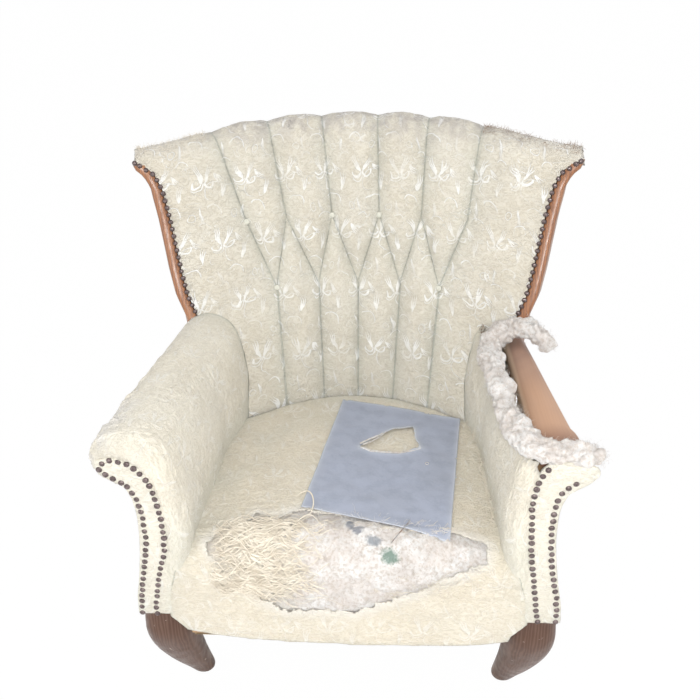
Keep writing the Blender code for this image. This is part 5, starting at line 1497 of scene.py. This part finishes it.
# Loose bits by the patch: lip and lifted flap of its hole, small hole, pin, thread loop
LIP = ((0.015, -0.106), (0.034, -0.117), (0.060, -0.121), (0.090, -0.121), (0.118, -0.112), (0.132, -0.104))
FLAP = (((0.014, -0.100), (0.028, -0.090), (0.044, -0.076), (0.060, -0.064)),
        ((0.017, -0.098), (0.032, -0.086), (0.046, -0.078), (0.057, -0.062)),
        ((0.020, -0.103), (0.036, -0.094), (0.050, -0.080), (0.064, -0.058)))
PIN = ((0.106, -0.336, 0.4245), (0.090, -0.358, 0.4195), (0.074, -0.379, 0.4130))
LOOP = ((-0.088, -0.262, 0.419), (-0.074, -0.258, 0.4225), (-0.064, -0.272, 0.4235), (-0.060, -0.296, 0.4225),
        (-0.064, -0.318, 0.4205), (-0.076, -0.322, 0.418))


def seat_height(x, y):
    """Height and slope of the seat's outer face over (x, y)."""
    share = max(-1.0, min(1.0, x / seat_width(max(y, ROLL_Y), 0.0)))
    if y >= ROLL_Y:
        rear = seat_outer(share, 0.0)[0].y
        place = min(max((rear - y) / (rear - ROLL_Y), 0.0), 1.0) * TOP_SHARE
        return seat_outer(share, place)[0].z, 0.0
    angle = math.asin(min((ROLL_Y - y) / ROLL_RADIUS, 0.999))
    return SEAT_EDGE_Z + SEAT_DOME * (1.0 - share * share) - ROLL_RADIUS * (1.0 - math.cos(angle)), angle


def make_patch(mat):
    bm, layers = marked_bmesh()
    bmesh.ops.create_grid(bm, x_segments=110, y_segments=170, size=0.5)
    low_left, low_right, high_right, high_left = PATCH_CORNERS
    gone = []
    for vert in bm.verts:
        u, v = vert.co.x + 0.5, vert.co.y + 0.5
        x = lerp(lerp(low_left[0], low_right[0], u), lerp(high_left[0], high_right[0], u), v)
        y = lerp(lerp(low_left[1], low_right[1], u), lerp(high_left[1], high_right[1], u), v)
        rim = min(u, 1.0 - u) * 0.25, min(v, 1.0 - v) * 0.36
        near = min(rim)
        ragged = 0.0025 * lumps((x, y, 0.0), 0.014, 2.0) + 0.0014 * lumps((x, y, 0.0), 0.004, 3.0)
        hole = edge_distance(PATCH_HOLE, x, y)
        z, angle = seat_height(x, y)
        slack = 0.0016 * lumps((x, y, 0.0), 0.050, 4.0) + 0.0008 * lumps((x, y, 0.0), 0.018, 5.0)
        curl = 0.0030 * math.exp(-max(hole, 0.0) / 0.006) + 0.0016 * math.exp(-near / 0.005)
        lift = 0.0034 + slack + curl
        vert.co = (x, y - lift * math.sin(angle), z + lift * math.cos(angle))
        vert[layers["place"]] = (x, y, 0.0)
        vert[layers["worn"]] = max(math.exp(-max(near, 0.0) / 0.0035), math.exp(-max(hole, 0.0) / 0.004))
        if hole + ragged < 0.0 or near + 0.6 * ragged < 0.0012:
            gone.append(vert)
    bmesh.ops.delete(bm, geom=gone, context="VERTS")
    lone = [vert for vert in bm.verts if not vert.link_faces]
    bmesh.ops.delete(bm, geom=lone, context="VERTS")
    write_uv(bm, layers)
    obj = finish_piece("seat_blue_patch", bm, mat, ("seat_patch",))
    solid = obj.modifiers.new("thickness", "SOLIDIFY")
    solid.thickness, solid.offset = 0.0012, -1.0
    return obj


def make_patch_bits(light, thread, steel):
    """Lip, flap and small hole of the patch, the pin stuck through it and a loop of thread."""
    def on_patch(x, y, lift):
        return Vector((x, y, seat_height(x, y)[0] + lift))

    rng = random.Random(21)
    strands = []
    for k in range(5):
        path = [on_patch(x, y - 0.0008 * k, 0.0050 + 0.0006 * rng.uniform(-1, 1)) for x, y in LIP]
        strands.append((path, 0.0012, 0.0007))
    for line in FLAP:
        path = [on_patch(x, y, 0.0062 + 0.0030 * math.sin(math.pi * (k + 0.5) / len(line)))
                for k, (x, y) in enumerate(line)]
        strands.append((path, 0.0022, 0.0009))
    ring = [on_patch(0.142 + 0.0032 * math.cos(TAU * k / 10), -0.155 + 0.0040 * math.sin(TAU * k / 10), 0.0045)
            for k in range(10)]
    strands.append((ring, 0.0009, 0.0006))
    finish_strands("patch_hole_lip", strands, light)
    finish_strands("patch_pin", [([Vector(p) for p in PIN], 0.0009, 0.0007)], steel)
    points = [Vector(spline(LOOP, k / 4)) for k in range(4 * (len(LOOP) - 1) + 1)]
    finish_strands("seat_thread_loop", [(points, 0.0014, 0.0011)], thread)


CORNER_THREADS, ARM_THREADS = 900, 520


def make_frays(thread, light):
    """Frayed threads at the back's upper corners, along the torn arm and in the seat's right seam."""
    rng = random.Random(33)
    strands, pale = [], []
    for k in range(CORNER_THREADS):
        right = k % 2 == 1
        u = rng.uniform(0.930, 0.994) if right else rng.uniform(0.008, 0.060)
        point, _, _ = back_front(u, rng.uniform(0.885, 0.955))
        heading = Vector((rng.gauss(0.5 if right else -0.5, 0.6), rng.gauss(-0.3, 0.4), rng.gauss(0.7, 0.5)))
        path = strand_path(point, heading, rng.uniform(0.004, 0.014), 0.45, rng, 0.05, 5)
        (strands if right else pale).append((path, 0.00030, 0.00012))
    for _ in range(ARM_THREADS):
        v = rng.uniform(0.20, 0.99)
        point, _, _ = right_arm_front(1.0, v)
        heading = Vector((rng.gauss(-0.3, 0.5), rng.gauss(0.0, 0.8), rng.gauss(0.5, 0.5)))
        strands.append((strand_path(point, heading, rng.uniform(0.005, 0.016), 0.5, rng, 0.05, 5), 0.00042, 0.00015))
    for _ in range(70):
        y = rng.uniform(-0.33, 0.01)
        x = seat_wall(round(y, 4)) - 0.006
        start = Vector((x, y, SEAT_EDGE_Z + rng.uniform(0.002, 0.012)))
        heading = Vector((rng.gauss(-0.2, 0.4), rng.gauss(0.0, 0.6), 1.0))
        pale.append((strand_path(start, heading, rng.uniform(0.012, 0.035), 0.35, rng, 0.10, 6), 0.00045, 0.00025))
    finish_strands("frayed_edge_threads", strands, thread)
    finish_strands("pale_loose_threads", pale, light)


def make_buttons(mat):
    bm = bmesh.new()
    spots = [(x, UPPER_NODE_Z) for x in (-0.229, -0.054, 0.046)] + [(-0.170, LOWER_NODE_Z), (0.172, LOWER_NODE_Z)]
    for x, z in spots:
        place = back_point(x, z, -0.0025)
        dome(bm, place, (-inward(x, z) + Vector((0.0, 0.0, 0.2))).normalized(), 0.0070, 0.0030)
    face_outwards(bm)
    return finish_piece("covered_buttons", bm, mat)


# Settings

def colour(name, text, value):
    return FloatVectorProperty(name=name, description=text, subtype="COLOR", size=3, min=0.0, max=1.0, default=value)


class ARMCHAIR_settings(bpy.types.PropertyGroup):
    ground: colour("Ground", "Colour of the woven ground where it is clean", (0.690, 0.655, 0.570))
    ground_warm: colour("Warm ground", "Colour of the woven ground where it has yellowed", (0.660, 0.600, 0.480))
    figure: colour("Figure", "Colour of the raised woven figure", (0.900, 0.890, 0.850))
    # Painted shade colour beside seams and where parts meet, also used for dirt on the seat.
    shade: colour("Soiled", "Colour of the cover beside seams", (0.480, 0.505, 0.435))
    wear: colour("Worn", "Colour of worn and frayed threads", (0.800, 0.770, 0.710))
    wood: colour("Wood", "Light colour of the polished wood", (0.290, 0.122, 0.052))
    wood_dark: colour("Dark wood", "Dark colour of the polished wood", (0.190, 0.085, 0.045))
    patch: colour("Patch", "Colour of the blue patch", (0.295, 0.320, 0.390))
    flash: FloatProperty(name="Flash", description="Power of the lamp beside the camera", default=18.4,
                         min=0.0, unit="POWER")
    sky: FloatProperty(name="Sky", description="Strength of the even light from all sides", default=1.00, min=0.0)


class StepOperator:
    bl_options = {"REGISTER", "UNDO"}

    @classmethod
    def poll(cls, context):
        return context.mode == "OBJECT"


class ARMCHAIR_OT_materials(StepOperator, bpy.types.Operator):
    """Build the shared node groups and materials"""
    bl_idname = "armchair.materials"
    bl_label = "Materials"

    def execute(self, context):
        settings = context.scene.armchair
        Kit.groups = {"figure": figure_group(fan_group(), arc_group()), "ripple": ripple_group(),
                      "dirt": dirt_group(), "grain": grain_group()}
        brocade_material("back_brocade", settings)
        # The arm and seat copies get lighter grounds than the back: painted light, making up for the lesser light
        # falling on them.
        brocade_material("arm_brocade", settings, figure=0.45, across=2.2, ground=(0.800, 0.762, 0.660))
        brocade_material("seat_brocade", settings, figure=0.40, across=1.8, ground=(0.735, 0.678, 0.560))
        batting_material()
        polished_material(settings)
        leg_material()
        board_material()
        rough_wood_material()
        sacking_material()
        nail_material()
        steel_material()
        patch_material(settings)
        speckled_material("button_cloth", 300.0, (0.42, 0.43, 0.37), (0.62, 0.60, 0.52))
        speckled_material("loose_thread", 60.0, (0.50, 0.43, 0.33), (0.86, 0.81, 0.71))
        speckled_material("brown_thread", 90.0, (0.20, 0.135, 0.095), (0.44, 0.34, 0.26))
        return {"FINISHED"}


class ARMCHAIR_OT_back(StepOperator, bpy.types.Operator):
    """Fluted inside back with its seams and covered buttons, and the outside back"""
    bl_idname = "armchair.back"
    bl_label = "Back"

    def execute(self, context):
        back = padded_shell("inside_back_cloth", 91, 62, 3, back_front, back_rear, Kit.mats["back_brocade"],
                            cloth_relief, ("back_pad",))
        make_buttons(Kit.mats["button_cloth"])
        make_outside_back(Kit.mats["back_brocade"])
        return {"FINISHED"}


class ARMCHAIR_OT_arms(StepOperator, bpy.types.Operator):
    """Padded arms, the right one torn open over its bare board"""
    bl_idname = "armchair.arms"
    bl_label = "Arms"

    def execute(self, context):
        cloth = Kit.mats["arm_brocade"]

        def left_rear(u, v):
            return arm_place(-1.0, u * ARM_POINTS, v, outer=False)[0]

        def right_rear(u, v):
            return arm_place(1.0, u * RIGHT_ARM_EDGE, v, outer=False)[0]
        left = padded_shell("left_arm_cloth", 44, 44, 4, left_arm_front, left_rear, cloth, arm_relief,
                            ("left_arm_pad",))
        right = padded_shell("right_arm_cloth", 26, 44, 4, right_arm_front, right_rear, cloth,
                             right_arm_relief, ("right_arm_pad",))
        batting = make_batting(Kit.mats["cotton_batting"])
        make_fluff(Kit.mats["cotton_batting"])
        for side, word in ((-1.0, "left"), (1.0, "right")):
            make_facing(side, word, cloth)
            make_outside_arm(side, word, cloth)
        return {"FINISHED"}


class ARMCHAIR_OT_seat(StepOperator, bpy.types.Operator):
    """Torn seat cover, its stuffing, the loose threads and the blue patch"""
    bl_idname = "armchair.seat"
    bl_label = "Seat"

    def execute(self, context):
        make_seat_cover(260, 240, Kit.mats["seat_brocade"])
        stuffing = padded_shell("seat_cotton", 60, 54, 4, stuffing_front, stuffing_rear,
                                Kit.mats["cotton_batting"], None, ("seat_pad",))
        make_shreds(Kit.mats["loose_thread"], Kit.mats["cotton_batting"])
        patch = make_patch(Kit.mats["blue_patch"])
        make_patch_bits(Kit.mats["cotton_batting"], Kit.mats["loose_thread"], Kit.mats["dull_steel"])
        make_frays(Kit.mats["brown_thread"], Kit.mats["loose_thread"])
        return {"FINISHED"}


class ARMCHAIR_OT_wood(StepOperator, bpy.types.Operator):
    """Show rails, legs, arm boards, nails and the hidden frame"""
    bl_idname = "armchair.wood"
    bl_label = "Wood and trim"

    def execute(self, context):
        polish, board = Kit.mats["polished_wood_finish"], Kit.mats["bare_arm_wood"]
        for side, word in ((-1.0, "left"), (1.0, "right")):
            make_rail(side, word, polish)
            smooth_copy(word + "_front_leg", word + "_shaped_leg", Kit.mats["worn_leg_finish"], 2, 60.0, 0.0015)
            smooth_copy(word + "_arm_board", word + "_bare_board", board, 0, 30.0, 0.0015)
        make_nails(Kit.mats["old_bronze"])
        looks = {"deck": "sacking", "web": "sacking", "dust": "sacking", "spring": "dull_steel"}
        for name, node in NODES.items():
            look = next((mat for word, mat in looks.items() if word in name), "plain_frame_wood")
            node.data.materials.clear()
            node.data.materials.append(Kit.mats[look])
        return {"FINISHED"}


class ARMCHAIR_OT_stage(StepOperator, bpy.types.Operator):
    """Plain white floor, camera and lamps"""
    bl_idname = "armchair.stage"
    bl_label = "Stage"

    def execute(self, context):
        settings = context.scene.armchair
        scene = context.scene
        bm = bmesh.new()
        bmesh.ops.create_grid(bm, x_segments=1, y_segments=1, size=30.0)
        mesh = bpy.data.meshes.new("studio_floor")
        bm.to_mesh(mesh)
        bm.free()
        floor = bpy.data.objects.new("studio_floor", mesh)
        scene.collection.objects.link(floor)
        mat, w, shader = material("white_floor")
        shader.inputs["Base Color"].default_value = (0.86, 0.86, 0.86, 1.0)
        shader.inputs["Roughness"].default_value = 1.0
        shader.inputs["Specular IOR Level"].default_value = 0.0
        glow = w.tree.nodes.new("ShaderNodeEmission")
        glow.inputs["Color"].default_value = (1.0, 1.0, 1.0, 1.0)
        glow.inputs["Strength"].default_value = 1.0
        ray = w.tree.nodes.new("ShaderNodeLightPath")
        blend = w.tree.nodes.new("ShaderNodeMixShader")
        w.put(blend.inputs[0], w.math("MULTIPLY", ray.outputs["Is Camera Ray"], 0.98))
        w.tree.links.new(shader.outputs[0], blend.inputs[1])
        w.tree.links.new(glow.outputs[0], blend.inputs[2])
        w.tree.links.new(blend.outputs[0], w.tree.nodes["Material Output"].inputs["Surface"])
        mesh.materials.append(mat)

        world = bpy.data.worlds.new("white_room")
        world.use_nodes = True
        wt = Wiring(world.node_tree)
        room = world.node_tree.nodes["Background"]
        room.inputs["Color"].default_value = (1.0, 1.0, 1.0, 1.0)
        path = world.node_tree.nodes.new("ShaderNodeLightPath")
        seen = wt.math("MULTIPLY", path.outputs["Is Camera Ray"], 1.0 - settings.sky)
        wt.put(room.inputs["Strength"], wt.math("ADD", settings.sky, seen))
        scene.world = world

        camera_data = bpy.data.cameras.new("photo_camera")
        camera_data.lens, camera_data.sensor_width = 39.5, 36.0
        camera = bpy.data.objects.new("photo_camera", camera_data)
        right = Vector((0.999, 0.048, -0.016)).normalized()
        ahead = Vector((-0.05, 0.887, -0.459))
        ahead = (ahead - right * ahead.dot(right)).normalized()
        up = right.cross(ahead)
        turn = Matrix((right, up, -ahead)).transposed().to_4x4()
        camera.matrix_world = Matrix.Translation((0.0676, -1.3246, 1.2688)) @ turn
        scene.collection.objects.link(camera)
        scene.camera = camera

        for name, place, target, size, power in (
                ("flash", (0.10, -1.50, 1.35), (0.0, 0.0, 0.55), 0.30, settings.flash),
                ("left_fill", (-1.7, -1.4, 1.0), (0.0, 0.0, 0.5), 1.2, settings.flash * 0.50),
                ("right_fill", (1.7, -1.3, 1.1), (0.0, 0.0, 0.5), 1.2, settings.flash * 0.40)):
            data = bpy.data.lights.new(name, "AREA")
            data.shape, data.size, data.energy = "DISK", size, power
            lamp = bpy.data.objects.new(name, data)
            lamp.location = place
            lamp.rotation_euler = (Vector(target) - Vector(place)).to_track_quat("-Z", "Y").to_euler()
            scene.collection.objects.link(lamp)
        scene.view_settings.view_transform = "Standard"
        return {"FINISHED"}


class ARMCHAIR_PT_panel(bpy.types.Panel):
    bl_label = "Armchair"
    bl_idname = "ARMCHAIR_PT_panel"
    bl_space_type = "VIEW_3D"
    bl_region_type = "UI"
    bl_category = "Armchair"

    def draw(self, context):
        column = self.layout.column(align=True)
        for step in STEPS:
            column.operator(step.bl_idname)
        column.separator()
        for word in ARMCHAIR_settings.__annotations__:
            column.prop(context.scene.armchair, word)


STEPS = (ARMCHAIR_OT_materials, ARMCHAIR_OT_back, ARMCHAIR_OT_arms, ARMCHAIR_OT_seat, ARMCHAIR_OT_wood,
         ARMCHAIR_OT_stage)
CLASSES = (ARMCHAIR_settings, *STEPS, ARMCHAIR_PT_panel)


def register():
    for cls in CLASSES:
        bpy.utils.register_class(cls)
    bpy.types.Scene.armchair = PointerProperty(type=ARMCHAIR_settings)


def unregister():
    del bpy.types.Scene.armchair
    for cls in reversed(CLASSES):
        bpy.utils.unregister_class(cls)


def main():
    register()
    for step in STEPS:
        space, word = step.bl_idname.split(".")
        if getattr(getattr(bpy.ops, space), word)() != {"FINISHED"}:
            raise RuntimeError(step.bl_label + " was not finished")


if __name__ == "__main__":
    main()
